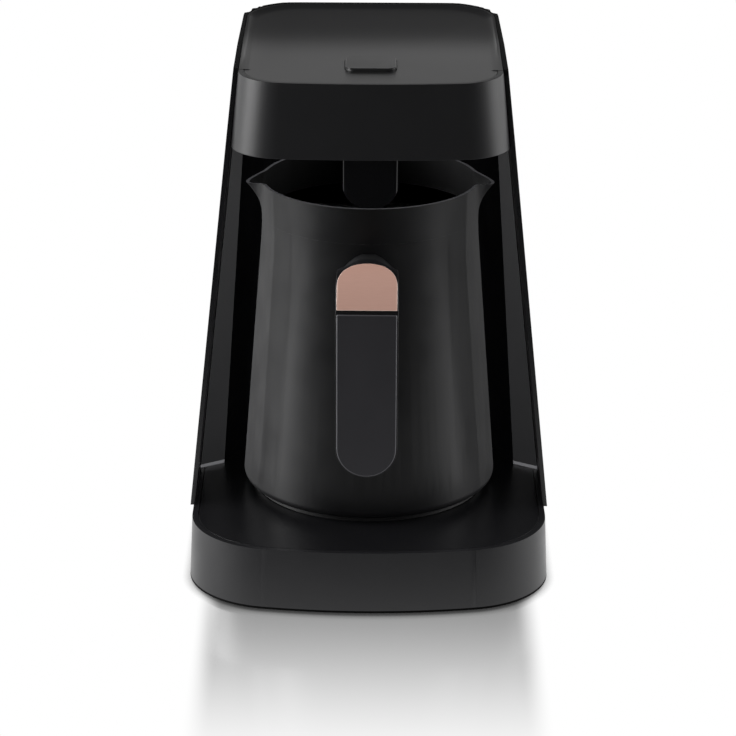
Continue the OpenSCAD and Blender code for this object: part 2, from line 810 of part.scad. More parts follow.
fascia_end_y = shell_mouth_y + 23;
under_z = head_z + under_lip;
under_boss_r = 3.8;
under_boss_x = shell_half(head_z) - shell_wall - head_corner_r - 4;
under_boss_y = head_front_y + pow(under_boss_x, 2) / 2 / head_bow_r + fascia_wall
    + under_boss_r + 0.6;
under_screw_places = [[-under_boss_x, under_boss_y], [under_boss_x, under_boss_y]];

module head_fascia() {
    boss_low = under_z + panel_t;
    boss_h = panel_low_z - 0.3 - boss_low;
    color("#2c2c2f") difference() {
        union() {
            difference() {
                intersection() {
                    head_block(0);
                    translate([-big / 2, head_front_y - 1, head_z - 1])
                        cube([big, fascia_end_y - head_front_y + 1, fascia_top_z - head_z + 1]);
                }
                head_block(fascia_wall, head_z - 1);
                // Behind the shell's mouth the side arms drop below the panel
                translate([-big / 2, rim_front_y - 0.3, panel_low_z - 0.3])
                    cube([big, big / 2, 20]);
            }
            // Pillars between the plate below and the panel above
            for (p = under_screw_places) {
                translate([p.x, p.y, boss_low]) cylinder(r = under_boss_r, h = boss_h);
                translate([p.x - 1, p.y - under_boss_r - 1.4, boss_low]) cube([2, 3, boss_h]);
            }
        }
        for (p = under_screw_places)
            translate([p.x, p.y, boss_low - 1]) cylinder(r = screw_r, h = 12);
    }
}

module under_plan(inset) {
    side = shell_wall + fit_gap;
    half = shell_half(under_z + panel_t) - side;
    bowed_plan(2 * (half - inset), head_front_y + inset, fascia_end_y + 1,
        head_corner_r - inset, 1, head_bow_r - inset);
    translate([-half, fascia_end_y + fit_gap]) square([2 * half, cheek_y + 14 - fascia_end_y]);
    translate([0, pot_y]) intersection() {
        circle(r = chamber_head_r + liner_wall);
        translate([-half, 0]) square([2 * half, big]);
    }
}

nose_front_y = head_front_y + 6;
nose_back_y = nose_front_y + nose_d;
window_y = nose_back_y - 12;
nose_low_z = head_z - nose_drop;
nose_wall = 1.8;
window_sunk = 0.4;
window_top_z = nose_low_z + nose_wall + 0.6;

module head_underside() {
    color("#0d0d0f") difference() {
        translate([0, 0, under_z]) linear_extrude(height = panel_t)
            under_plan(fascia_wall + fit_gap);
        translate([0, (nose_front_y + nose_back_y) / 2, under_z - 1])
            linear_extrude(height = panel_t + 2)
                rounded_plan(nose_w + 2 * fit_gap, nose_d + 2 * fit_gap, 2);
        for (p = under_screw_places) translate([p.x, p.y, under_z - 1])
            cylinder(r = screw_r + 0.3, h = panel_t + 2);
    }
}

module underside_screws() {
    color("silver") for (p = under_screw_places)
        translate([p.x, p.y, under_z]) screw_up(screw_r - 0.05, 10, 2.4, 1.2);
}

// Front view of the nose: a tongue with round lower corners
module nose_face(inset) {
    w = nose_w - 2 * inset;
    r = nose_r - inset;
    low = nose_low_z + inset;
    high = under_z + panel_t + 1.6;
    translate([-w / 2, low + r]) square([w, high - low - r]);
    translate([r - w / 2, low]) square([w - 2 * r, r + eps]);
    for (side = [-1, 1]) translate([side * (w / 2 - r), low + r]) circle(r = r);
}

module sensor_nose() {
    color("#08080a") difference() {
        union() {
            intersection() {
                along(nose_front_y, nose_back_y) nose_face(0);
                translate([0, (nose_front_y + nose_back_y) / 2, 0]) linear_extrude(height = big)
                    rounded_plan(nose_w, nose_d, 1.8);
            }
            // Flange that rests on the plate
            translate([0, (nose_front_y + nose_back_y) / 2, under_z + panel_t])
                linear_extrude(height = 1.6) rounded_plan(nose_w + 6, nose_d + 6, 3);
        }
        along(nose_front_y + nose_wall, nose_back_y - nose_wall)
            translate([0, eps]) nose_face(nose_wall);
        translate([-nose_w / 2 + nose_wall, nose_front_y + nose_wall, under_z])
            cube([nose_w - 2 * nose_wall, nose_d - 2 * nose_wall, 10]);
        translate([0, window_y, nose_low_z - 1]) cylinder(r = window_r + 0.05, h = nose_wall + 2);
    }
}

module sensor_window() {
    color("#2a0d12") translate([0, window_y, nose_low_z + window_sunk])
        cylinder(r = window_r, h = window_top_z - nose_low_z - window_sunk);
}

module sensor_board() {
    low = window_top_z + 0.3;
    board = low + 5.5;
    color("#1f5a34") translate([0, window_y - 5, board])
        linear_extrude(height = 1.2) square([15, 20], center = true);
    color("#9c9ea2") translate([0, window_y, low]) cylinder(r = 4.1, h = board - low + eps);
}

// Half section of the dish: a flat floor that ends in a round hollow
module dish_section(core) {
    square([core, dish_r]);
    intersection() {
        translate([core, dish_r]) circle(r = dish_r);
        translate([core - eps, 0]) square([dish_r + 1, dish_r]);
    }
}

// Solid that presses the shallow dish into the top panel: open to the front,
// with a round hollow along both sides and the back
module dish_form() {
    depth = top_z - panel_z;
    spread = sqrt(pow(dish_r, 2) - pow(dish_r - depth, 2));
    half = shell_half(top_z) - shell_wall - fit_gap - 0.7;
    rear = back_y - rim_back - fit_gap - 0.7;
    core = opening_r - 1 - spread;
    turn_x = half - opening_r + 1;
    turn_y = rear - opening_r + 1;
    along(head_front_y - 1, turn_y) both_sides()
        translate([0, panel_z]) dish_section(turn_x + core);
    across(2 * turn_x) translate([turn_y, panel_z]) dish_section(core);
    for (side = [0, 1]) translate([side ? turn_x : -turn_x, turn_y, panel_z])
        rotate(side ? 0 : 90) rotate_extrude(angle = 90) dish_section(core);
}

key_board_screw_places = [for (x = [-1, 1], y = [-1, 1])
    [x * (key_board_w / 2 - 4.5), key_board_y + y * (key_board_l / 2 - 4.5)]];

module top_panel() {
    color("#242427") difference() {
        union() {
            // Rear part, up to the shell's rim
            intersection() {
                tower_block(shell_wall + fit_gap, 1);
                translate([0, 0, panel_low_z]) linear_extrude(height = top_z - panel_low_z)
                    panel_plan(fit_gap);
                across(big) shell_side(0.3, 0);
            }
            // Front part, inside the fascia
            intersection() {
                head_block(fascia_wall + fit_gap, head_z - 1);
                translate([-big / 2, head_front_y, panel_low_z])
                    cube([big, rim_front_y - head_front_y + 1, panel_z - panel_low_z]);
            }
            for (p = key_board_screw_places) translate([p.x, p.y, key_board_z + board_t])
                cylinder(r = 3, h = panel_low_z - key_board_z - board_t + eps);
        }
        dish_form();
        translate([0, button_y, panel_low_z - 1]) linear_extrude(height = panel_t + 2)
            rounded_plan(button_w + 2 * fit_gap, button_l + 2 * fit_gap, button_r + fit_gap);
        for (p = key_board_screw_places) translate([p.x, p.y, key_board_z])
            cylinder(r = 1.1, h = 9);
    }
}

module key_board() {
    color("#1f5a34") difference() {
        translate([0, key_board_y, key_board_z]) linear_extrude(height = board_t)
            square([key_board_w, key_board_l], center = true);
        for (p = key_board_screw_places) translate([p.x, p.y, key_board_z - 1])
            cylinder(r = 1.4, h = board_t + 2);
    }
}

module key_board_screws() {
    color("silver") for (p = key_board_screw_places)
        translate([p.x, p.y, key_board_z]) screw_up(1.05, 8, 2.2, 1.3);
}

switch_h = 3.4;
plunger_h = 1;
key_top_z = key_board_z + board_t;

module key_switch() {
    color("#1b1b1d") translate([0, button_y, key_top_z]) {
        translate([-3, -3, 0]) cube([6, 6, switch_h]);
        cylinder(r = 1.7, h = switch_h + plunger_h);
    }
}

module buzzer() {
    color("#17171a") translate([16, key_board_y - 8, key_board_z - 6.5]) difference() {
        cylinder(r = 6, h = 6.5);
        translate([0, 0, -1]) cylinder(r = 1, h = 3);
    }
}

// Button cap: a shell with a retaining flange and a stem over the switch
cap_flange = 1.6;
flange_t = 1;
flange_top_z = panel_low_z - 0.3;
spring_r = 6.2;
spring_wire_r = 0.35;
cap_roof_t = 1.6;

module button_cap() {
    top = panel_z + button_proud;
    roof = top - cap_roof_t;
    stem_z = key_top_z + switch_h + plunger_h + button_travel + 0.1;
    color("#29292c") translate([0, button_y, 0]) {
        difference() {
            union() {
                translate([0, 0, flange_top_z - eps])
                    linear_extrude(height = top - 0.4 - flange_top_z + eps)
                        rounded_plan(button_w, button_l, button_r);
                translate([0, 0, top - 0.4]) linear_extrude(height = 0.4)
                    rounded_plan(button_w - 0.6, button_l - 0.6, button_r - 0.3);
                translate([0, 0, flange_top_z - flange_t]) linear_extrude(height = flange_t)
                    rounded_plan(button_w + 2 * cap_flange, button_l + 2 * cap_flange,
                        button_r + cap_flange);
            }
            translate([0, 0, flange_top_z - flange_t - 1])
                linear_extrude(height = roof - flange_top_z + flange_t + 1)
                    rounded_plan(button_w - 3, button_l - 3, button_r - 1.5);
        }
        // Stem over the switch
        translate([0, 0, stem_z]) cylinder(r = 2.4, h = roof - stem_z + 0.2);
    }
}

module button_spring() {
    color("#b9bcc0") translate([0, button_y, key_top_z + 0.02])
        coil(spring_r, spring_wire_r, panel_z + button_proud - cap_roof_t - key_top_z - 0.06, 4);
}

// --------------------------------------------------------------------- pot

pot_low_z = deck_z + 2.5;
pot_neck_z = deck_z + pot_neck_h;
pot_lip_z = deck_z + 120.5;
pot_rim_z = deck_z + pot_h;
jacket_mouth_r = pot_foot_r - pot_edge_r;
liner_floor_z = pot_low_z + 16.5;
flange_z = pot_lip_z - 1.4;

// Outer radius of the jacket below its lip: a taper that eases into the neck
neck_ease = 6;
jacket_slope = (pot_foot_r - pot_neck_r) / (pot_neck_z - pot_low_z);
function jacket_r(z) = let (d = pot_neck_z + neck_ease - z)
    d < 0 ? pot_neck_r
    : d < 2 * neck_ease ? pot_neck_r + jacket_slope * d * d / (4 * neck_ease)
    : pot_neck_r + jacket_slope * (pot_neck_z - z);

// Points of the jacket's outline where the taper eases into the neck
neck_steps = 8;
function neck_line(gap) = [for (k = [0:neck_steps])
    let (z = pot_neck_z + neck_ease * (2 * k / neck_steps - 1)) [jacket_r(z) + gap, z]];

// Lip: points crowd towards the two spouts, at 0 and 180 degrees
lip_n = 84;
lip_k = 6;
function lip_angle(i) = 360 * i / lip_n - 16 * sin(720 * i / lip_n);
function spout(i) = let (a = abs((lip_angle(i) + 270) % 180 - 90) / spout_half_angle)
    a < 1 ? pow(cos(90 * a), 2) : 0;
function lip_z(i, t) = pot_lip_z + t * (pot_rim_z - spout_dip * spout(i) - pot_lip_z);
function lip_r(i, t) = pot_neck_r - 0.01 + 0.3 * t * t
    + spout_reach * spout(i) * pow(max(t, 0), 1.9);
function lip_point(i, t, wall) = let (a = lip_angle(i), r = lip_r(i, t) - wall)
    [r * cos(a), r * sin(a), lip_z(i, t)];

// The lowest ring reaches a little way down into the neck's wall
module pot_lip() {
    steps = concat([-0.04], [for (k = [1:lip_k]) k / lip_k]);
    rows = [for (t = steps) [t, 0]];
    inner = [for (k = [lip_k:-1:0]) [steps[k], jacket_wall - 0.12 - 0.4 * steps[k]]];
    rings = concat(rows, inner);
    m = len(rings);
    points = [for (ring = rings, i = [0:lip_n - 1]) lip_point(i, ring[0], ring[1])];
    faces = [for (j = [0:m - 1], i = [0:lip_n - 1])
        let (j2 = (j + 1) % m, i2 = (i + 1) % lip_n)
        each [[j * lip_n + i, j2 * lip_n + i, j2 * lip_n + i2],
              [j * lip_n + i, j2 * lip_n + i2, j * lip_n + i2]]];
    polyhedron(points = points, faces = faces);
}

// Half section of the jacket below its lip
module jacket_section() {
    low_in = pot_low_z + jacket_wall;
    difference() {
        polygon(concat([[jacket_mouth_r, pot_low_z],
            [jacket_r(pot_low_z + pot_edge_r), pot_low_z],
            [jacket_r(pot_low_z + pot_edge_r), pot_low_z + pot_edge_r]],
            neck_line(0),
            [[pot_neck_r, pot_lip_z],
            [pot_neck_r - jacket_wall, pot_lip_z], [pot_neck_r - jacket_wall, pot_neck_z],
            [jacket_r(low_in) - jacket_wall - 0.4, low_in], [jacket_mouth_r, low_in]]));
        translate([jacket_r(pot_low_z + pot_edge_r) - pot_edge_r, pot_low_z]) difference() {
            translate([0, -1]) square([pot_edge_r + 1, pot_edge_r + 1]);
            translate([0, pot_edge_r]) circle(r = pot_edge_r);
        }
    }
}

handle_screw_x = 5.5;
handle_screw_z = deck_z + handle_top_h - 8;
handle_seat = jacket_r(handle_screw_z) - jacket_wall + 0.2;
base_boss_r = 3.4;
base_boss_ring = 45.2;
base_boss_angles = [30, 150, 270];
drain_slots = [deck_z + 17, deck_z + 21];

module pot_jacket() {
    color("#262629") translate([0, pot_y, 0]) difference() {
        union() {
            rotate_extrude($fn = 120) jacket_section();
            pot_lip();
            for (a = base_boss_angles) rotate(a) {
                translate([base_boss_ring, 0, pot_low_z + base_disc_t])
                    cylinder(r = base_boss_r, h = 10);
                translate([base_boss_ring, -1, pot_low_z + base_disc_t])
                    cube([jacket_r(pot_low_z + 12) - jacket_wall / 2 - base_boss_ring, 2, 10]);
            }
        }
        for (a = base_boss_angles) rotate(a)
            translate([base_boss_ring, 0, pot_low_z]) cylinder(r = screw_r, h = 11);
        // Holes and flat seats for the handle screws
        for (x = [-1, 1]) translate([x * handle_screw_x, 0, handle_screw_z]) rotate([90, 0, 0]) {
            cylinder(r = screw_r + 0.2, h = pot_foot_r);
            cylinder(r = screw_head_r + 0.3, h = handle_seat);
        }
        // Drain slots low on both flanks
        for (side = [-1, 1], z = drain_slots)
            translate([side * pot_foot_r, 0, z]) cube([12, 3.2, 1.4], center = true);
    }
}

module pot_liner() {
    function outer(z) = jacket_r(z) - jacket_wall - air_gap;
    color("#9b9ea3") translate([0, pot_y, 0]) rotate_extrude($fn = 120) {
        polygon([[0, liner_floor_z], [outer(liner_floor_z), liner_floor_z],
            [outer(pot_neck_z), pot_neck_z], [outer(pot_lip_z), flange_z + steel_t],
            [outer(pot_lip_z) - steel_t, flange_z + steel_t],
            [outer(pot_neck_z) - steel_t, pot_neck_z],
            [outer(liner_floor_z) - steel_t, liner_floor_z + steel_t],
            [0, liner_floor_z + steel_t]]);
        translate([outer(pot_lip_z) - 0.1, flange_z])
            square([air_gap - 0.2, steel_t]);
    }
}

module pot_gasket() {
    mid = pot_neck_r - jacket_wall - air_gap / 2;
    color("#6d2a20") translate([0, pot_y, flange_z - air_gap / 2])
        rotate_extrude() translate([mid, 0]) circle(r = air_gap / 2 - 0.1, $fn = 32);
}

heater_r = 38;
heater_t = 3;
element_r = 27;
element_wire_r = 3;
heater_z = liner_floor_z - heater_t;

module heater_plate() {
    color("#a7a9ac") translate([0, pot_y, heater_z]) difference() {
        cylinder(r = heater_r, h = heater_t);
        translate([0, 0, -eps]) cylinder(r = 4, h = heater_t - 1.2);
    }
}

module heater_element() {
    color("#77787b") translate([0, pot_y, heater_z - element_wire_r]) rotate(120) {
        rotate_extrude(angle = 300) translate([element_r, 0]) circle(r = element_wire_r, $fn = 32);
        for (a = [0, 300]) rotate(a) translate([element_r, 0, 0])
            cylinder(r = 1, h = element_wire_r + 2.5, center = true);
    }
}

module thermal_cutout() {
    color("#cfcac0") translate([0, pot_y, heater_z - 4]) {
        cylinder(r = 7.5, h = 4);
        for (x = [-1, 1]) translate([x * 5, 0, -0.6]) cube([2.4, 4, 1.2], center = true);
    }
}

pad_l = 13;
pad_w = 5;
pad_t = 1;
base_disc_t = 2;
foot_z = deck_z + slide_gap;
island_w = contact_w + 4;
island_l = 22;

module pot_base() {
    color("#121214") difference() {
        translate([0, pot_y, 0]) union() {
            translate([0, 0, pot_low_z]) cylinder(r = jacket_mouth_r - fit_gap, h = base_disc_t);
            translate([0, 0, foot_z]) difference() {
                cylinder(r = jacket_mouth_r - 1, h = pot_low_z - foot_z + 0.1);
                translate([0, 0, -eps])
                    cylinder(r = jacket_mouth_r - 9, h = pot_low_z - foot_z + eps);
            }
            // Island that carries the contact pads
            translate([0, contact_y - pot_y, foot_z + 0.1])
                linear_extrude(height = pot_low_z - foot_z) rounded_plan(island_w, island_l, 3);
        }
        for (x = pin_x) translate([x, contact_y, foot_z])
            cube([pad_w + 0.2, pad_l + 0.2, 2 * pad_t + 0.5], center = true);
        for (a = base_boss_angles) translate([0, pot_y, 0]) rotate(a)
            translate([base_boss_ring, 0, foot_z - 1]) {
                cylinder(r = screw_r + 0.3, h = 10);
                cylinder(r = screw_head_r + 0.3, h = pot_low_z - foot_z + 1);
            }
    }
}

module contact_pads() {
    color("#c9a24a") for (x = pin_x) translate([x, contact_y, foot_z + 0.05 + pad_t / 2])
        cube([pad_w, pad_l, pad_t], center = true);
}

module pot_base_screws() {
    color("silver") translate([0, pot_y, 0]) for (a = base_boss_angles) rotate(a)
        translate([base_boss_ring, 0, pot_low_z])
            screw_up(screw_r - 0.05, 9, screw_head_r, screw_head_l);
}

module pot_wires() {
    r = 0.9;
    high = heater_z - 2 * element_wire_r - r;
    low = pot_low_z + base_disc_t + r;
    color("#c8c8c4") for (a = [120, 60]) {
        end = [element_r * cos(a), pot_y + element_r * sin(a), high + 0.1];
        wire([end, [end.x, end.y, low], [sign(end.x) * contact_pitch, contact_y, low]], r);
    }
}

// ------------------------------------------------------------------ handle

handle_front_y = pot_y - handle_reach;
handle_top_z = deck_z + handle_top_h;
handle_low_z = deck_z + handle_low_h;
bend_y = handle_front_y + bend_r;
inner_bend_r = 7;
handle_gap = 0.05;

// Side view of the handle, its outer face inset by a distance
module handle_side(inset) {
    r = bend_r - inset;
    difference() {
        union() {
            translate([bend_y, handle_top_z - bend_r]) circle(r = r);
            translate([bend_y, handle_top_z - bend_r - r]) square([pot_y - bend_y, 2 * r]);
            translate([handle_front_y + inset, handle_low_z - 1])
                square([grip_t + bend_r, handle_top_z - bend_r - handle_low_z + 1]);
        }
        translate([handle_front_y + grip_t, handle_low_z - 2])
            square([big, handle_top_z - arm_h - inner_bend_r - handle_low_z + 2]);
        translate([handle_front_y + grip_t + inner_bend_r, handle_low_z - 2])
            square([big, handle_top_z - arm_h - handle_low_z + 2]);
        translate([handle_front_y + grip_t + inner_bend_r, handle_top_z - arm_h - inner_bend_r])
            circle(r = inner_bend_r);
    }
}

// Front view of the handle, inset evenly: straight sides and round ends
module handle_face(inset) {
    r = handle_w / 2 - inset;
    for (z = [handle_low_z + handle_w / 2, handle_top_z - handle_w / 2])
        translate([0, z]) circle(r = r);
    translate([-r, handle_low_z + handle_w / 2])
        square([2 * r, handle_top_z - handle_low_z - handle_w]);
}

// The handle's body between its outer face, inset, and the pot
module handle_body(face_inset, side_inset) {
    intersection() {
        across(handle_w + 2) handle_side(face_inset);
        along(handle_front_y - 1, pot_y) handle_face(side_inset);
    }
}

module inlay(gap) {
    difference() {
        handle_body(0, inlay_border + gap);
        handle_body(inlay_t - gap, inlay_border - 1);
        // The inlays end before the arm does
        translate([-handle_w, bend_y - 2 - gap, 0]) cube([2 * handle_w, big, big]);
    }
}

module handle_core() {
    color("#3a3a3e") difference() {
        handle_body(0, 0);
        difference() {
            handle_body(0, inlay_border);
            handle_body(inlay_t, inlay_border - 1);
            translate([-handle_w, bend_y - 2, 0]) cube([2 * handle_w, big, big]);
        }
        translate([0, pot_y, 0]) rotate_extrude($fn = 120)
            polygon(concat([[0, pot_low_z], [jacket_r(pot_low_z) + handle_gap, pot_low_z]],
                neck_line(handle_gap),
                [[pot_neck_r + handle_gap, pot_rim_z], [0, pot_rim_z]]));
        for (x = [-1, 1]) translate([x * handle_screw_x, pot_y, handle_screw_z])
            rotate([90, 0, 0]) cylinder(r = screw_r, h = pot_neck_r + 13);
    }
}

module handle_grip() {
    color("#2e2d32") intersection() {
        inlay(0.08);
        translate([-handle_w, -big, 0]) cube([2 * handle_w, big, deck_z + seam_h - seam_w / 2]);
    }
}

module handle_accent() {
    color("#b78e7d") intersection() {
        inlay(0.08);
        translate([-handle_w, -big, deck_z + seam_h + seam_w / 2])
            cube([2 * handle_w, big, big]);
    }
}

module handle_screws() {
    color("silver") for (x = [-1, 1])
        translate([x * handle_screw_x, pot_y - handle_seat, handle_screw_z])
            rotate([90, 0, 0]) screw_up(screw_r - 0.05, 12, screw_head_r, screw_head_l);
}

base_plate();
rubber_feet();
base_screws();
base_skirt();
base_deck();
contact_block();
contact_pins();
contact_springs();
contact_screws();
mains_terminal();
cord_bush();
rear_shell();
chamber_liner();
tower_screws();
power_board();
transformer();
relay();
capacitors();
board_screws();
wiring_harness();
head_fascia();
head_underside();
underside_screws();
sensor_nose();
sensor_window();
sensor_board();
top_panel();
key_board();
key_switch();
buzzer();
key_board_screws();
button_spring();
button_cap();
pot_jacket();
pot_liner();
pot_gasket();
heater_plate();
heater_element();
thermal_cutout();
pot_base();
contact_pads();
pot_base_screws();
pot_wires();
handle_core();
handle_grip();
handle_accent();
handle_screws();
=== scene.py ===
"""Looks of a countertop coffee maker: its finishes, softened edges, floor, lamps and camera.

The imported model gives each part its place. Moulded parts that show are copied, cleaned and
given the small edge rounds that their tools leave. The tower's crown is formed further, and
the handle's three pieces are made again. The other parts keep their own meshes.
"""
import json
import math

import bmesh
import bpy
from mathutils import Matrix, Quaternion, Vector
from mathutils.bvhtree import BVHTree

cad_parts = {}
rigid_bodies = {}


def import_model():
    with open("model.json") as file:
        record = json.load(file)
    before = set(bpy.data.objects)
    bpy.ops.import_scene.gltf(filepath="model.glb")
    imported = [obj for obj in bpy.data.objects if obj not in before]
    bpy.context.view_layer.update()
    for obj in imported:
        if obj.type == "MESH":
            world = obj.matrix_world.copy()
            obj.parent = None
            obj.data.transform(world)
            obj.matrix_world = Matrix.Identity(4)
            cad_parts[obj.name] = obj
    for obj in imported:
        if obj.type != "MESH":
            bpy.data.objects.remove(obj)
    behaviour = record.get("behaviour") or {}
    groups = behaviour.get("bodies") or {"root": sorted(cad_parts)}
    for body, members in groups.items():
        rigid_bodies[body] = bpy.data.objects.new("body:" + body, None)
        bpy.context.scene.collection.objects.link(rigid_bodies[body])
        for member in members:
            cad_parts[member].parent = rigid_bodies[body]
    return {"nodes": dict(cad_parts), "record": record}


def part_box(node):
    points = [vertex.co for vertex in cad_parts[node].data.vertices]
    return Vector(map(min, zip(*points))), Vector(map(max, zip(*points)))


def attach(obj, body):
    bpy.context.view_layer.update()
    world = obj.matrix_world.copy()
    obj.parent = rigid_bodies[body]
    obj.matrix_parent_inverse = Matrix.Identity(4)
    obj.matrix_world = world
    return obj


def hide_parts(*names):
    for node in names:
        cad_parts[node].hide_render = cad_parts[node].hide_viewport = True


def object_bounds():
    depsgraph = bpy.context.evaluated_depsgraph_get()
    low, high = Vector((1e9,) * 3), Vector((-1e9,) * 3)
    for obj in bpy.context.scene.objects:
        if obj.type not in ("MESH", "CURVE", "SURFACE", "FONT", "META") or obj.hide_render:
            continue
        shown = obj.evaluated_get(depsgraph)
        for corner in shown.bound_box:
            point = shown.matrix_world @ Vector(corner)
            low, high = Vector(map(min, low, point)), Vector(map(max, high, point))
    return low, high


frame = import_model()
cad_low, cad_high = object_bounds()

MM = 0.001
scene = bpy.context.scene
slot_of = {part["node"]: part["material_slot"] for part in frame["record"]["subparts"]}
body_of = {
    node: body
    for body, members in frame["record"]["behaviour"]["bodies"].items()
    for node in members
}


# ----------------------------------------------------------------- shader nodes

def linear(hex_colour):
    """An sRGB hex colour as the linear RGBA that a socket takes."""
    channels = [int(hex_colour[i:i + 2], 16) / 255 for i in (1, 3, 5)]
    bent = [c / 12.92 if c <= 0.04045 else ((c + 0.055) / 1.055) ** 2.4 for c in channels]
    return (*bent, 1.0)


def add(tree, kind, sockets=None, **settings):
    """Adds a node, sets its properties, and fills or links its sockets."""
    node = tree.nodes.new("ShaderNode" + kind)
    for name, value in settings.items():
        setattr(node, name, value)
    for name, value in (sockets or {}).items():
        if isinstance(value, bpy.types.NodeSocket):
            tree.links.new(value, node.inputs[name])
        else:
            node.inputs[name].default_value = value
    return node


def blank(name):
    """An empty node material with its coordinates and its output."""
    material = bpy.data.materials.new(name)
    material.use_nodes = True
    tree = material.node_tree
    tree.nodes.clear()
    place = add(tree, "TexCoord").outputs["Object"]
    output = add(tree, "OutputMaterial")
    return material, tree, place, output


def per_mm(size):
    """The texture scale at which one cell measures this many millimetres."""
    return 1 / (size * MM)


def noise(tree, place, size, detail):
    """Noise whose patches are this many millimetres wide."""
    sockets = {"Vector": place, "Scale": per_mm(size), "Detail": detail}
    return add(tree, "TexNoise", sockets).outputs["Fac"]


def reckoned(tree, operation, *values):
    """One step of arithmetic."""
    return add(tree, "Math", dict(enumerate(values)), operation=operation).outputs[0]


def ramp(tree, value, start, end, low, high, course="LINEAR"):
    """Takes a value's way from start to end as one from low to high, and stops there."""
    ends = {"Value": value, 1: start, 2: end, 3: low, 4: high}
    return add(tree, "MapRange", ends, interpolation_type=course).outputs[0]


def between(tree, share, low, high):
    """The number that lies at this share of the way from low to high."""
    return add(tree, "Mix", {0: share, 2: low, 3: high}).outputs[0]


def shaded(tree, share, dark, light):
    """The colour that lies at this share of the way from dark to light."""
    ends = {0: share, 6: linear(dark), 7: linear(light)}
    return add(tree, "Mix", ends, data_type="RGBA").outputs[2]


def bumped(tree, height, distance):
    """A relief, distance metres high where height is 1."""
    return add(tree, "Bump", {"Height": height, "Distance": distance, "Strength": 1.0})


def surfaced(tree, output, relief, sockets):
    """Ends a material in one shader over a relief."""
    shader = add(tree, "BsdfPrincipled", {"Normal": relief.outputs[0], **sockets})
    tree.links.new(shader.outputs[0], output.inputs["Surface"])


# -------------------------------------------------------------------- finishes

NOISE_RANGE = (0.3, 0.7)        # the values between which noise mostly lies
METAL_MOTTLE = 0.06             # how far a metal's roughness swings across its lines
SWELL_START = 12 * MM           # where a swelling face begins to turn up to the back
SWELL_EASE = 30 * MM            # length over which it does so


def plastic(name, colour, light, roughness, grain=0.45, depth=0.004, mottle=0.04,
            patch=14.0, swell=0.0, gloss=0.5):
    """Moulded polymer: a tool grain in relief, and a slow drift of gloss and shade.

    grain is the grain's width and depth its relief, both in millimetres. light is the
    colour that the drift reaches, patch the drift's width, mottle its swing of roughness.
    swell is the slope at which a face turns up to the back. A low gloss is a dull surface.
    """
    material, tree, place, output = blank(name)
    drift = noise(tree, place, patch, 3.0)
    relief = bumped(tree, noise(tree, place, grain, 2.0), depth * MM)
    if swell:
        along = add(tree, "SeparateXYZ", {0: place}).outputs["Y"]
        behind = reckoned(tree, "SMOOTH_MAX", along, SWELL_START, SWELL_EASE)
        tree.links.new(bumped(tree, behind, swell).outputs[0], relief.inputs["Normal"])
    surfaced(tree, output, relief, {
        "Base Color": shaded(tree, drift, colour, light),
        "Roughness": ramp(tree, drift, *NOISE_RANGE, roughness - mottle, roughness + mottle),
        "IOR": 1.5, "Specular IOR Level": gloss,
    })
    return material


def metal(name, colour, light, roughness, line, stretch, depth, metallic=1.0):
    """Worked metal: fine lines from its tool, drawn out along one way.

    line is the lines' spacing in millimetres, stretch how much longer they are than wide
    along X, Y and Z, and depth their relief in millimetres.
    """
    material, tree, place, output = blank(name)
    drawn = add(tree, "Mapping", {"Vector": place, "Scale": [1 / s for s in stretch]})
    lines = noise(tree, drawn.outputs[0], line, 4.0)
    swing = (roughness - METAL_MOTTLE, roughness + METAL_MOTTLE)
    surfaced(tree, output, bumped(tree, lines, depth * MM), {
        "Base Color": shaded(tree, lines, colour, light),
        "Roughness": ramp(tree, lines, *NOISE_RANGE, *swing),
        "Metallic": metallic,
    })
    return material


def solder_mask():
    """Glass-fibre circuit board under green solder mask: paler lines cross it in rows."""
    material, tree, place, output = blank("fibreglass_board_solder_masked")
    tracks = add(tree, "TexBrick", {
        "Vector": place, "Scale": per_mm(6.0), "Color1": linear("#0f4a2a"),
        "Color2": linear("#15592f"), "Mortar": linear("#2f7a44"), "Mortar Size": 0.08,
    })
    surfaced(tree, output, bumped(tree, noise(tree, place, 0.6, 2.0), 0.02 * MM), {
        "Base Color": tracks.outputs["Color"], "Roughness": 0.35, "IOR": 1.5,
    })
    return material


def infrared_window():
    """Cast acrylic filter: near black, with a deep red body that shows at a glance."""
    material, tree, place, output = blank("acrylic_window_cast")
    surfaced(tree, output, bumped(tree, noise(tree, place, 5.0, 1.0), 0.01 * MM), {
        "Base Color": linear("#2a0a10"), "Roughness": 0.05, "IOR": 1.49,
        "Transmission Weight": 0.5,
    })
    return material


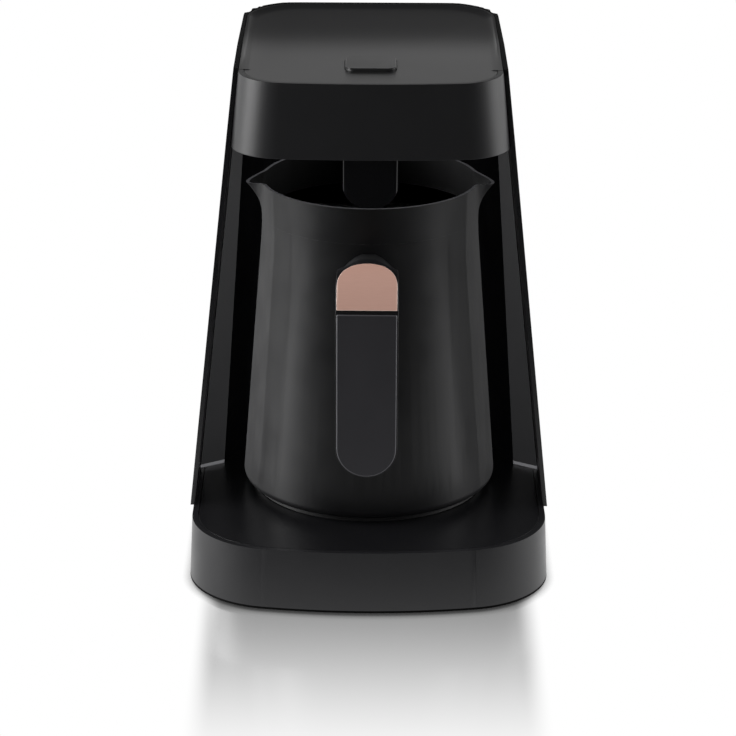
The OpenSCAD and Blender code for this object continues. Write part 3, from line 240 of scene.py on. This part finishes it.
# A spark-eroded tool leaves pits of about 0.1 mm. They are drawn at 0.35 to 0.5 mm, so
# that they still break up the sheen at the picture's size.
finishes = {
    # Satin ABS from an eroded tool: a soft grey sheen that swells at the corners
    "base_moulding": plastic(
        "abs_moulded_satin_base", "#161618", "#1a1a1c", 0.34, 0.45, 0.006),
    # The same, duller: a broad, even band of grey round the head
    "fascia_moulding": plastic(
        "abs_moulded_satin_fascia", "#111113", "#141416", 0.42, 0.45, 0.004, 0.02, 40.0),
    # The panel swells a little to the back, so that its grey deepens to black there
    "panel_moulding": plastic(
        "abs_moulded_satin_panel", "#141415", "#161617", 0.34, 0.4, 0.005, 0.01, 60.0, 0.12),
    # The button: as the panel, a shade lighter
    "button_plastic": plastic(
        "abs_moulded_satin_button", "#151516", "#181819", 0.36, 0.4, 0.005, 0.02),
    # The tower's shell: darker, with a tighter sheen along its round corners
    "shell_moulding": plastic(
        "abs_moulded_satin_shell", "#0b0b0d", "#0f0f11", 0.3),
    # Satin polypropylene over the pot: a smooth, matt fall from light to dark
    "pot_moulding": plastic(
        "polypropylene_moulded_pot", "#0a0a0c", "#0e0e10", 0.42, 0.5, 0.006),
    # PBT of the handle: as the pot, a little lighter, with a sharper sheen
    "handle_moulding": plastic(
        "pbt_moulded_handle", "#0e0e10", "#131315", 0.38, 0.45, 0.005),
    # Soft-touch inlay: an even charcoal with the faintest plum, almost no highlight
    "grip_plastic": plastic(
        "tpe_soft_touch_grip", "#1f1e23", "#242328", 0.6, 0.35, 0.01),
    # The deck's polish is worn to a satin: deep black with soft reflections
    "gloss_deck": plastic(
        "abs_polished_deck", "#0f0f11", "#131315", 0.32, 9.0, 0.01, 0.02),
    # ABS from a mirror-polished tool: deep black, broken by a slight swim of the surface
    "gloss_liner": plastic(
        "abs_polished_chamber", "#040405", "#060607", 0.14, 9.0, 0.01, 0.03),
    "gloss_nose": plastic(
        "abs_polished_nose", "#040405", "#060607", 0.08, 9.0, 0.008, 0.02),
    # Grained polypropylene underneath, dull and slightly scuffed
    "base_underside": plastic(
        "polypropylene_moulded_underside", "#17171a", "#212124", 0.6, 0.6, 0.02, 0.06),
    # Glass-filled nylon: dull black, clouded by the fibres near its surface
    "contact_insulator": plastic(
        "glass_filled_nylon_moulded", "#111112", "#1b1b1d", 0.55, 0.6, 0.015, 0.06),
    # Natural polyamide: a milky off-white
    "terminal_plastic": plastic(
        "polyamide_moulded_terminal", "#cfcec4", "#dad9d0", 0.45, 0.8, 0.01),
    # Epoxy round the components: an even dark grey
    "component_plastic": plastic(
        "epoxy_moulded_component", "#161617", "#1e1e20", 0.5, 0.3, 0.008),
    # The relay's case: a clean blue with a firm highlight
    "relay_plastic": plastic(
        "pbt_moulded_relay", "#1d4d85", "#24598f", 0.3, 1.0, 0.006),
    # Rubbers and sleeves: dull, with a bloom that lightens them in patches
    "feet_rubber": plastic(
        "natural_rubber_moulded_feet", "#121213", "#1d1d1e", 0.75, 0.7, 0.03, 0.08, 6.0),
    "bush_rubber": plastic(
        "pvc_moulded_bush", "#131314", "#1c1c1d", 0.6, 0.7, 0.02, 0.06, 6.0),
    "wire_sleeve": plastic(
        "pvc_extruded_wire_red", "#7a1c1c", "#8a2323", 0.45, 1.2, 0.006, 0.04, 5.0),
    "wire_sleeve_pale": plastic(
        "silicone_braided_wire_pale", "#c9c8c2", "#d6d5d0", 0.6, 0.5, 0.02, 0.04, 5.0),
    "gasket_silicone": plastic(
        "silicone_moulded_gasket", "#8f4338", "#9d4f43", 0.55, 1.0, 0.01, 0.05, 5.0),
    # Zinc-plated screws: pale blue grey with fine turning marks
    "screw_steel": metal(
        "steel_zinc_plated_screw", "#a6aab0", "#c2c5c9", 0.32, 0.25, (1, 1, 6), 0.004),
    # Drawn spring wire: a clean pale grey with faint drawing lines
    "spring_steel": metal(
        "steel_drawn_spring", "#a9a9ab", "#c6c6c8", 0.28, 0.2, (4, 4, 1), 0.003),
    # Brass that shows warm through its thin nickel
    "contact_metal": metal(
        "brass_nickelled_contact", "#c9a85a", "#d8ba74", 0.22, 0.2, (1, 1, 5), 0.003),
    # Spun stainless steel: rings round the pot's axis
    "liner_steel": metal(
        "stainless_steel_spun_liner", "#b9b9ba", "#cfcfd0", 0.24, 0.3, (14, 14, 1), 0.004),
    # Cast aluminium: a pale, pebbled skin without a direction
    "heater_aluminium": metal(
        "aluminium_cast_heater", "#b0b0b2", "#c8c8ca", 0.45, 0.8, (1, 1, 1), 0.02),
    # The element's sheath: browned by heat
    "element_steel": metal(
        "stainless_steel_heat_tinted", "#7d7264", "#94887a", 0.38, 0.6, (3, 3, 1), 0.006),
    # Rose lacquer over brushed metal: warm and even, with fine lines across. The lacquer
    # scatters much of the light itself, so the metal shows through it only in part
    "rose_metal": metal(
        "aluminium_lacquered_rose", "#b18b7d", "#bd9688", 0.42, 0.22, (18, 1, 1), 0.003, 0.15),
    "circuit_board": solder_mask(),
    "window_glass": infrared_window(),
}

for node, part in frame["nodes"].items():
    part.data.materials.clear()
    part.data.materials.append(finishes[slot_of[node]])


# ---------------------------------------------------------- finished mouldings

OPENING_R = 25 * MM             # rear corner radius of the panel
CROWN_EDGE = 1.0 * MM           # flat lip left round the panel
CROWN_R = 8 * MM                # radius at which the crown falls away from that lip
SHELL_CROWN_R = 16 * MM         # radius at which the shell's back already falls
CROWN_DEPTH = 45 * MM           # height over which the walls take up the fall
CROWN_TUCK = 0.4                # share of its stand-off that the corner's outside loses
CROWN_LEVELS = 4                # level cuts through the crown
CROWN_CUTS_Y = 14               # cuts across it, from the opening's round corners back
CROWN_STEP_Y = 2.8 * MM         # their spacing
CROWN_CUTS_X = 12               # cuts along it on each side
CROWN_STEP_X = 2.5 * MM         # their spacing
CROWN_LEAD_X = 4 * MM           # how far inside the round corners these begin
CROWN_MERGE = 0.06 * MM         # vertices closer than this become one
CROWN_CRISP = 2 * MM            # width beside the lip that isn't smoothed
CROWN_SMOOTHED = 8              # passes that smooth the rest of the formed corners
RIM_DEPTH = 3.5 * MM            # height of the dull rim round the panel


def dressed(node, mesh, edge, crease=32.0):
    """Puts a mesh in a node's place, with smooth curves and its tool's small edge round.

    edge is the round's width in millimetres, crease the angle from which an edge gets it.
    """
    mesh.materials.clear()
    mesh.materials.append(finishes[slot_of[node]])
    mesh.shade_smooth()
    mesh.set_sharp_from_angle(angle=math.radians(crease))
    piece = bpy.data.objects.new(node + "_finished", mesh)
    scene.collection.objects.link(piece)
    rounds = piece.modifiers.new("edge_round", "BEVEL")
    rounds.width = edge * MM
    rounds.segments = 3
    rounds.limit_method = "ANGLE"
    rounds.angle_limit = math.radians(crease)
    rounds.miter_outer = "MITER_ARC"
    rounds.harden_normals = True
    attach(piece, body_of[node])
    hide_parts(node)
    return piece


def finished(node, edge, shaping=None, crease=32.0, level=None):
    """A copy of a moulding with clean faces and rounded edges.

    shaping may form it first, and level is a height at which its faces are cut.
    """
    mesh = frame["nodes"][node].data.copy()
    mesh.name = node + "_finished"
    form = bmesh.new()
    form.from_mesh(mesh)
    bmesh.ops.remove_doubles(form, verts=form.verts, dist=2e-6)
    if shaping:
        shaping(form)
    else:
        bmesh.ops.dissolve_limit(form, angle_limit=math.radians(0.25), verts=form.verts,
                                 edges=form.edges, use_dissolve_boundaries=False)
    if level is not None:
        cut_level(form, level)
    form.to_mesh(mesh)
    form.free()
    return dressed(node, mesh, edge, crease)


def cut(form, place, way, faces=None, clear=False):
    """Cuts a mesh's faces, or some of them, along a plane. clear removes what lies beyond."""
    if faces is None:
        cut_through = form.verts[:] + form.edges[:] + form.faces[:]
    else:
        corners = dict.fromkeys(vert for face in faces for vert in face.verts)
        edges = dict.fromkeys(edge for face in faces for edge in face.edges)
        cut_through = [*corners, *edges, *faces]
    bmesh.ops.bisect_plane(form, geom=cut_through, plane_co=place, plane_no=way,
                           clear_outer=clear)


def cut_level(form, height):
    """Cuts a mesh's faces along a level line, and leaves them joined."""
    cut(form, (0, 0, height), (0, 0, 1))


def round_crown(form):
    """Lets the shell's rear corners fall away all round the panel's opening.

    The crown starts beside the opening's edge, bends down to a slope of 45 degrees and
    keeps it, so that the top's outline follows the opening's round corners. The walls
    below are drawn down and in with it, less and less towards the crown's foot.
    """
    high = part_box("rear_shell")[1]
    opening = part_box("top_panel")[1]
    corner_x = opening.x - OPENING_R
    corner_y = opening.y - OPENING_R
    foot_z = high.z - CROWN_DEPTH
    for step in range(CROWN_LEVELS):
        cut_level(form, foot_z + step * CROWN_DEPTH / CROWN_LEVELS)
    planes = [
        ((0, corner_y + step * CROWN_STEP_Y, 0), (0, 1, 0)) for step in range(CROWN_CUTS_Y)
    ]
    for step in range(CROWN_CUTS_X):
        for side in (-1, 1):
            aside = corner_x - CROWN_LEAD_X + step * CROWN_STEP_X
            planes.append(((side * aside, 0, 0), (1, 0, 0)))
    for place, way in planes:
        cut(form, place, way, [
            face for face in form.faces
            if min(vert.co.z for vert in face.verts) > foot_z - 0.1 * MM
            and max(vert.co.y for vert in face.verts) > corner_y
        ])
    bmesh.ops.remove_doubles(form, verts=form.verts, dist=CROWN_MERGE)
    formed = []
    for vert in form.verts:
        across = max(abs(vert.co.x) - corner_x, 0)
        beyond = max(vert.co.y - corner_y, 0)
        past = math.hypot(across, beyond) - OPENING_R - CROWN_EDGE
        if past <= 0 or beyond <= 0:
            continue
        # The round ends where its slope reaches 45 degrees
        curved = min(past, CROWN_R * math.sqrt(0.5))
        fall = CROWN_R - math.sqrt(CROWN_R ** 2 - curved ** 2) + past - curved
        behind = max(vert.co.y - (high.y - SHELL_CROWN_R), 0)
        fallen = SHELL_CROWN_R - math.sqrt(max(SHELL_CROWN_R ** 2 - behind ** 2, 0))
        share = min(max((vert.co.z - high.z + CROWN_DEPTH) / CROWN_DEPTH, 0), 1) ** 2
        pull = CROWN_TUCK * share * past / math.hypot(across, beyond)
        vert.co.z -= max(fall - fallen, 0) * share
        vert.co.x = math.copysign(abs(vert.co.x) - across * pull, vert.co.x)
        vert.co.y -= min(beyond, across) * pull
        if past > CROWN_CRISP and share > 0:
            formed.append(vert)
    for _ in range(CROWN_SMOOTHED):
        bmesh.ops.smooth_vert(form, verts=formed, factor=0.5,
                              use_axis_x=True, use_axis_y=True, use_axis_z=True)
    cut_level(form, high.z - RIM_DEPTH)


def coat_or_paint_faces(node, material, chosen):
    """Gives a finished moulding's chosen faces another material: a finish of their own, or
    painted light or shade.

    chosen is asked about each face's centre and the way it faces.
    """
    mesh = scene.objects[node + "_finished"].data
    mesh.materials.append(material)
    for face in mesh.polygons:
        if chosen(face.center, face.normal):
            face.material_index = len(mesh.materials) - 1


SKIRT_SHADOW = 0.9 * MM            # height of the painted shadow line at the skirt's foot
CHEEK_FOOT = 1.6 * MM           # height of the painted highlight at the cheeks' foot
CHEEK_X = 45 * MM               # the slanted cheeks lie further out than this
INSIDE_DEPTH = 40 * MM          # how far down from the spouts the inner wall is dull, with painted shade
LIP_DEPTH = 16 * MM             # the lip's painted highlight lies within this of the spouts' height all round
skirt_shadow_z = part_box("base_skirt")[0].z + SKIRT_SHADOW
cheek_foot_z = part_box("base_deck")[1].z + CHEEK_FOOT
spout_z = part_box("pot_jacket")[1].z
rim_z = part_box("rear_shell")[1].z - RIM_DEPTH

finished("base_skirt", 0.5, level=skirt_shadow_z)
finished("chamber_liner", 0.3, level=cheek_foot_z)
for node, edge in {
    "base_deck": 0.15,
    "head_fascia": 0.5, "head_underside": 0.3, "sensor_nose": 0.5, "top_panel": 0.4,
    "button_cap": 0.3, "pot_jacket": 0.3,
}.items():
    finished(node, edge)
tower = finished("rear_shell", 0.4, round_crown, 60.0)
tower.modifiers.new("flat_faces", "WEIGHTED_NORMAL").keep_sharp = True


def pot_inside(spot, way):
    """The jacket's inner wall below its lip, which faces the middle. Shade is painted there."""
    inward = spot.x * way.x + spot.y * way.y < -0.01 * spot.xy.length
    return spot.z > spout_z - INSIDE_DEPTH and inward


# Painted shade: the inside is dull and near black, so that the open pot looks black
coat_or_paint_faces("pot_jacket", plastic(
    "polypropylene_moulded_pot_inside", "#020203", "#030304", 0.7, gloss=0.1,
), pot_inside)
# Painted highlight on the lip: a thin grey line round the opening
coat_or_paint_faces("pot_jacket", plastic(
    "polypropylene_worn_lip", "#505053", "#5c5c5f", 0.3,
), lambda spot, way: spot.z > spout_z - LIP_DEPTH and way.z > 0.8)
# Painted shadow: the skirt's foot is dull and black, a thin black line above the floor
coat_or_paint_faces("base_skirt", plastic(
    "abs_moulded_matt_foot", "#020202", "#040404", 0.8, gloss=0.1,
), lambda spot, way: spot.z < skirt_shadow_z)
# The rim round the panel is dull, so that it stays black beside the satin panel
coat_or_paint_faces("rear_shell", plastic(
    "abs_moulded_matt_rim", "#070708", "#0a0a0b", 0.75, gloss=0.12,
), lambda spot, way: spot.z > rim_z)
# The chamber's slanted cheeks have the eroded grain of the outside: soft grey, no mirror
coat_or_paint_faces("chamber_liner", plastic(
    "abs_moulded_satin_cheek", "#1a1a1c", "#1e1e20", 0.5, 0.45, 0.005, 0.02,
), lambda spot, way: abs(spot.x) > CHEEK_X and way.y < -0.7)
# Painted highlight: their foot is bright where it meets the deck
coat_or_paint_faces("chamber_liner", plastic(
    "abs_polished_cheek_foot", "#7a7a7d", "#868689", 0.3,
), lambda spot, way: spot.z < cheek_foot_z and abs(spot.x) > CHEEK_X and way.y < -0.8)


# ---------------------------------------------------------------------- handle

# The handle's outer face is a strip that runs up the grip, over the bend and back to the
# pot. Its pieces are made flat, with x across, y along the strip and z out of it, and are
# then laid on the strip. y is 0 where the bend starts.
BEND_R = 22 * MM                # outer radius of the bend
BEND = math.radians(100)        # turn of the bend: the arm falls a little towards the pot
ARM_L = 11.5 * MM               # length of the arm behind the bend
GRIP_T = 9 * MM                 # thickness of the grip
ARM_T = 13 * MM                 # height of the arm
INLAY_T = 1.0 * MM              # thickness of the inlays
INLAY_SEAT = 0.7 * MM           # how deep the inlays are let into the core
BORDER = 0.5 * MM               # rim of the core that shows beside the inlays
SEAM = 5.85 * MM                # middle of the seam between the inlays
SEAM_GAP = 0.85 * MM            # half the seam's width
ACCENT_L = 22.0 * MM            # length of the accent inlay
CROWN = 8.5 * MM                # how far the arm's top falls to its sides
CROWN_START = 18 * MM           # where on the strip that fall begins
NARROWING = 0.1                 # share of its width that the arm loses towards the pot
STRIP_STEP = 1.5 * MM           # spacing of the cuts at which the strip bends
WALL_SEAT = 0.9 * MM            # how deep the arm's end sits in the jacket's wall
POT_TURN = math.radians(-0.8)   # the pot stands a hair turned in its well
TINY = 0.001 * MM               # flat or together, as far as the making goes
handle_low, handle_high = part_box("handle_core")
handle_half = (handle_high.x - handle_low.x) / 2
inlay_half = handle_half - BORDER
bend_z = handle_high.z - BEND_R
strip_low = handle_low.z - bend_z
strip_high = BEND_R * BEND + ARM_L


def drawn(form, made, way):
    """Moves the vertices that an extrusion made."""
    verts = [part for part in made["geom"] if isinstance(part, bmesh.types.BMVert)]
    bmesh.ops.translate(form, vec=way, verts=verts)


def tab(half, low, high, thick, round_high):
    """A flat tab with one half-round end, cut across so that it can bend."""
    form = bmesh.new()
    bmesh.ops.create_circle(form, cap_ends=True, radius=half, segments=64)
    cut(form, (0, 0, 0), (0, 1, 0), clear=True)
    straight = [edge for edge in form.edges if max(abs(v.co.y) for v in edge.verts) < TINY]
    made = bmesh.ops.extrude_edge_only(form, edges=straight)
    drawn(form, made, (0, high - low - half, 0))
    bmesh.ops.remove_doubles(form, verts=form.verts, dist=TINY)
    made = bmesh.ops.extrude_face_region(form, geom=form.faces[:], use_keep_orig=True)
    drawn(form, made, (0, 0, -thick))
    if round_high:
        bmesh.ops.rotate(form, matrix=Matrix.Rotation(math.pi, 3, "Z"), verts=form.verts)
        bmesh.ops.translate(form, vec=(0, high - half, 0), verts=form.verts)
    else:
        bmesh.ops.translate(form, vec=(0, low + half, 0), verts=form.verts)
    for step in range(int(high / STRIP_STEP) + 1):
        cut(form, (0, step * STRIP_STEP, 0), (0, 1, 0))
    bmesh.ops.recalc_face_normals(form, faces=form.faces)
    return form


def on_strip(point):
    """Where a point of a flat tab lies once the tab is on the handle."""
    angle = min(max(point.y / BEND_R, 0), BEND)
    beyond = point.y - angle * BEND_R
    radius = BEND_R + point.z
    return Vector((
        point.x,
        handle_low.y + BEND_R - radius * math.cos(angle) + beyond * math.sin(angle),
        bend_z + radius * math.sin(angle) + beyond * math.cos(angle),
    ))


def laid(form):
    """Lays a flat tab on the handle, turned with the pot."""
    for vert in form.verts:
        vert.co = Matrix.Rotation(POT_TURN, 3, "Z") @ on_strip(vert.co)


def as_mesh(form, name):
    """Writes a bmesh out as a mesh."""
    mesh = bpy.data.meshes.new(name)
    form.to_mesh(mesh)
    form.free()
    return mesh


def handle_core():
    """The handle's body: its arm grows deeper and its top rounder towards the pot."""
    form = tab(handle_half, strip_low, strip_high, GRIP_T - INLAY_SEAT, False)
    for share in (-0.85, -0.7, -0.5, -0.25, 0.25, 0.5, 0.7, 0.85):
        cut(form, (share * handle_half, 0, 0), (1, 0, 0))
    ends = [vert for vert in form.verts if vert.co.y > strip_high - 0.01 * MM]
    for vert in form.verts:
        turn = min(max(vert.co.y / (BEND_R * BEND), 0), 1)
        across = vert.co.x / handle_half
        if vert.co.z > -0.01 * MM:
            behind = min(max((vert.co.y - CROWN_START) / (BEND_R * BEND - CROWN_START), 0), 1)
            vert.co.z -= CROWN * behind ** 2 * across ** 2
        else:
            vert.co.z -= turn * (ARM_T - GRIP_T)
        vert.co.x *= 1 - NARROWING * turn ** 3
        vert.co.z -= INLAY_SEAT
    laid(form)
    # The arm's end follows the jacket's curve, just inside its wall
    jacket = bmesh.new()
    jacket.from_mesh(frame["nodes"]["pot_jacket"].data)
    wall = BVHTree.FromBMesh(jacket)
    jacket.free()
    for vert in ends:
        spot = wall.ray_cast(Vector((vert.co.x, handle_low.y, vert.co.z)), Vector((0, 1, 0)))[0]
        vert.co.y = spot.y + WALL_SEAT
    dressed("handle_core", as_mesh(form, "handle_core_finished"), 0.9)


def inlay(node, low, high, round_high, edge, bright):
    """An inlay that sits in the handle's outer face. Its edge round takes a second, brighter
    material: a painted highlight.
    """
    form = tab(inlay_half, low, high, INLAY_T, round_high)
    laid(form)
    piece = dressed(node, as_mesh(form, node + "_finished"), edge)
    piece.data.materials.append(bright)
    piece.modifiers["edge_round"].material = 1


handle_core()
# Painted highlight on the grip's edge round: a fine grey line round the grip
inlay("handle_grip", strip_low + BORDER, SEAM - SEAM_GAP, False, 0.45, plastic(
    "tpe_soft_touch_grip_edge", "#3a3a3e", "#444448", 0.45, 0.35, 0.004))
# Painted highlight on the accent's edge round: a pale line round the accent
inlay("handle_accent", SEAM + SEAM_GAP, SEAM + SEAM_GAP + ACCENT_L, True, 0.4, metal(
    "aluminium_lacquered_rose_edge", "#d9c0b4", "#e4cfc5", 0.3, 0.22, (18, 1, 1), 0.002, 0.15))


# ---------------------------------------------------------------------- studio

# Lengths are in metres here, and powers in watts
FLOOR_HALF = 4.0                # from the object to the floor's edge
MIRROR = 0.75                   # the floor's share of mirror reflection beside the object
MIRROR_SIDE = (0.06, 0.071)     # from where to where that fades to the sides
MIRROR_AHEAD = (0.05, 0.24)     # from where to where it fades to the front and the back
SHEET_FRONT = (-0.27, -0.03)    # where the sheet fades in front, as gloss sees it
ROOM_FRONT = (-0.6, -0.05)      # how the white behind fades to the front, as a direction's y
ROOM_TOP = (0.05, 0.42)         # how it fades upwards, as a direction's z
ROOM_DIM = 0.03                 # what is left of it in front
SOFT = "SMOOTHSTEP"             # the course of a fade that shows no edge

# For each side: its sign, how far back its big lamp stands, that lamp's power, and the
# powers of the pot's flank lamp and rim lamp
SIDES = {
    "left": (-1, -0.15, 9.5, 11.0, 3.2),
    "right": (1, 0.1, 3.2, 4.0, 1.9),
}
FILL_POWER = 2.2                # the lamps that light the chamber from in front

CAMERA_PLACE = (-0.0006, -1.182, 0.513)
CAMERA_TILT = math.radians(69.746)
CAMERA_ROLL = math.radians(0.26)
SENSOR_W = 36.0                 # in millimetres, as is the lens
LENS = 143.95


def gloss_or_beyond(tree, path):
    """1 for what is seen in gloss or through clear matter, else 0."""
    return reckoned(tree, "MAXIMUM", path.outputs["Is Glossy Ray"],
                    path.outputs["Is Transmission Ray"])


def blended(tree, share, first, second):
    """Two shaders, the second one at this share."""
    return add(tree, "MixShader", {0: share, 1: first, 2: second}).outputs[0]


def floor_finish():
    """Pale acrylic sheet that mirrors the object close by and is plain further off."""
    material, tree, place, output = blank("acrylic_sheet_polished_floor")
    path = add(tree, "LightPath")
    camera_ray = path.outputs["Is Camera Ray"]
    seen = reckoned(tree, "MAXIMUM", camera_ray, gloss_or_beyond(tree, path))
    # How far a point lies beside the object's middle and in front of it
    spot = add(tree, "SeparateXYZ", {0: place})
    aside = reckoned(tree, "ABSOLUTE", spot.outputs["X"])
    ahead = reckoned(tree, "ABSOLUTE", spot.outputs["Y"])
    beside = ramp(tree, aside, *MIRROR_SIDE, 1.0, 0.0, SOFT)
    before = ramp(tree, ahead, *MIRROR_AHEAD, MIRROR, 0.0, SOFT)
    near = reckoned(tree, "MULTIPLY", beside, before)
    # In gloss the sheet ends a hand's breadth in front of the object
    front = ramp(tree, spot.outputs["Y"], *SHEET_FRONT, ROOM_DIM, 1.0, SOFT)
    pale = between(tree, camera_ray, front, 1.0)
    glow = add(tree, "Emission", {"Color": linear("#ffffff"), "Strength": pale})
    gloss = add(tree, "BsdfAnisotropic", {"Color": linear("#ffffff"), "Roughness": 0.16})
    share = reckoned(tree, "MULTIPLY", near, camera_ray)
    bright = blended(tree, share, glow.outputs[0], gloss.outputs[0])
    # The thin shadow where the sheet meets the object
    contact = add(tree, "AmbientOcclusion", {"Distance": 4 * MM}, samples=8)
    dark = add(tree, "BsdfDiffuse", {"Color": linear("#0c0c0c")})
    bright = blended(tree, contact.outputs["AO"], dark.outputs[0], bright)
    plain = add(tree, "BsdfDiffuse", {"Color": linear("#e6e6e6")})
    both = blended(tree, seen, plain.outputs[0], bright)
    tree.links.new(both, output.inputs["Surface"])
    return material


def studio_floor():
    """The floor, level with the feet."""
    sheet = bmesh.new()
    bmesh.ops.create_grid(sheet, x_segments=1, y_segments=1, size=FLOOR_HALF)
    mesh = as_mesh(sheet, "studio_floor")
    mesh.materials.append(floor_finish())
    floor = bpy.data.objects.new("studio_floor", mesh)
    floor.location.z = cad_low.z
    scene.collection.objects.link(floor)


def studio_world():
    """White where the picture shows it, and a plain soft light on the object.

    Gloss sees the white behind and beside the object, down to the floor, and a dim room
    in front, which is what gives black mouldings their shape.
    """
    world = bpy.data.worlds.new("studio_world")
    scene.world = world
    world.use_nodes = True
    tree = world.node_tree
    tree.nodes.clear()
    path = add(tree, "LightPath")
    way = add(tree, "SeparateXYZ", {0: add(tree, "TexCoord").outputs["Generated"]})
    behind = ramp(tree, way.outputs["Y"], *ROOM_FRONT, ROOM_DIM, 1.0, SOFT)
    low = ramp(tree, way.outputs["Z"], *ROOM_TOP, 1.0, 0.08, SOFT)
    mirrored = reckoned(tree, "MULTIPLY", behind, low)
    room = between(tree, gloss_or_beyond(tree, path), 0.95, mirrored)
    level = between(tree, path.outputs["Is Camera Ray"], room, 1.0)
    sky = add(tree, "Background", {"Color": linear("#ffffff"), "Strength": level})
    output = add(tree, "OutputWorld")
    tree.links.new(sky.outputs[0], output.inputs["Surface"])


def softbox(name, place, aim, wide, high, power):
    """A soft lamp at one point, turned to another. The picture doesn't show it."""
    light = bpy.data.lights.new(name, "AREA")
    light.shape = "RECTANGLE"
    light.size = wide
    light.size_y = high
    light.energy = power
    lamp = bpy.data.objects.new(name, light)
    lamp.location = place
    lamp.rotation_mode = "QUATERNION"
    lamp.rotation_quaternion = (Vector(aim) - Vector(place)).to_track_quat("-Z", "Y")
    lamp.visible_camera = False
    scene.collection.objects.link(lamp)
    return lamp


def lit_pieces(lamp, pieces):
    """The collection of pieces that a lamp's light is linked to."""
    group = bpy.data.collections.new(lamp.name + "_pieces")
    for piece in pieces:
        group.objects.link(piece)
    lamp.light_linking.receiver_collection = group
    return group


def light_only(lamp, pieces):
    """Keeps a lamp's light to some pieces, and lets only these cast its shadows."""
    lamp.light_linking.blocker_collection = lit_pieces(lamp, pieces)


def light_all_but(lamp, pieces):
    """Keeps a lamp's light away from some pieces."""
    for member in lit_pieces(lamp, pieces).collection_objects:
        member.light_linking.link_state = "EXCLUDE"


def studio_lamps():
    """A big lamp on each side, and lamps for the pot and the chamber alone.

    The pot stands in the chamber, so its flanks get their light from lamps of their own.
    """
    pot_pieces = [
        piece for piece in scene.objects
        if body_of.get(piece.name.removesuffix("_finished")) == "pot"
    ]
    middle = (0.0, 0.0, 0.1)
    for name, (side, back, power, flank_power, rim_power) in SIDES.items():
        box = softbox("softbox_" + name, (side * 0.9, back, 0.35), (0.0, -0.03, 0.12),
                      0.6, 0.7, power)
        light_all_but(box, pot_pieces)
        flank = softbox("pot_flank_" + name, (side * 0.7, 0.14, 0.3), middle,
                        0.5, 0.6, flank_power)
        light_only(flank, pot_pieces)
        rim = softbox("pot_rim_" + name, (side * 0.7, 0.3, 0.05), middle, 0.4, 0.3, rim_power)
        light_only(rim, pot_pieces)
    for name, (side, *_) in SIDES.items():
        fill = softbox("chamber_fill_" + name, (side * 0.5, -0.5, 0.15), (0.0, 0.0, 0.11),
                       0.3, 0.3, FILL_POWER)
        light_only(fill, [scene.objects["chamber_liner_finished"]])


def studio_camera():
    """The portrait's view: straight from the front, a little above."""
    lens = bpy.data.cameras.new("portrait_camera")
    lens.sensor_width = SENSOR_W
    lens.lens = LENS
    camera = bpy.data.objects.new("portrait_camera", lens)
    camera.location = CAMERA_PLACE
    camera.rotation_mode = "QUATERNION"
    camera.rotation_quaternion = (
        Quaternion((1, 0, 0), CAMERA_TILT) @ Quaternion((0, 0, 1), CAMERA_ROLL))
    scene.collection.objects.link(camera)
    scene.camera = camera


studio_floor()
studio_world()
studio_lamps()
studio_camera()
scene.view_settings.view_transform = "Standard"
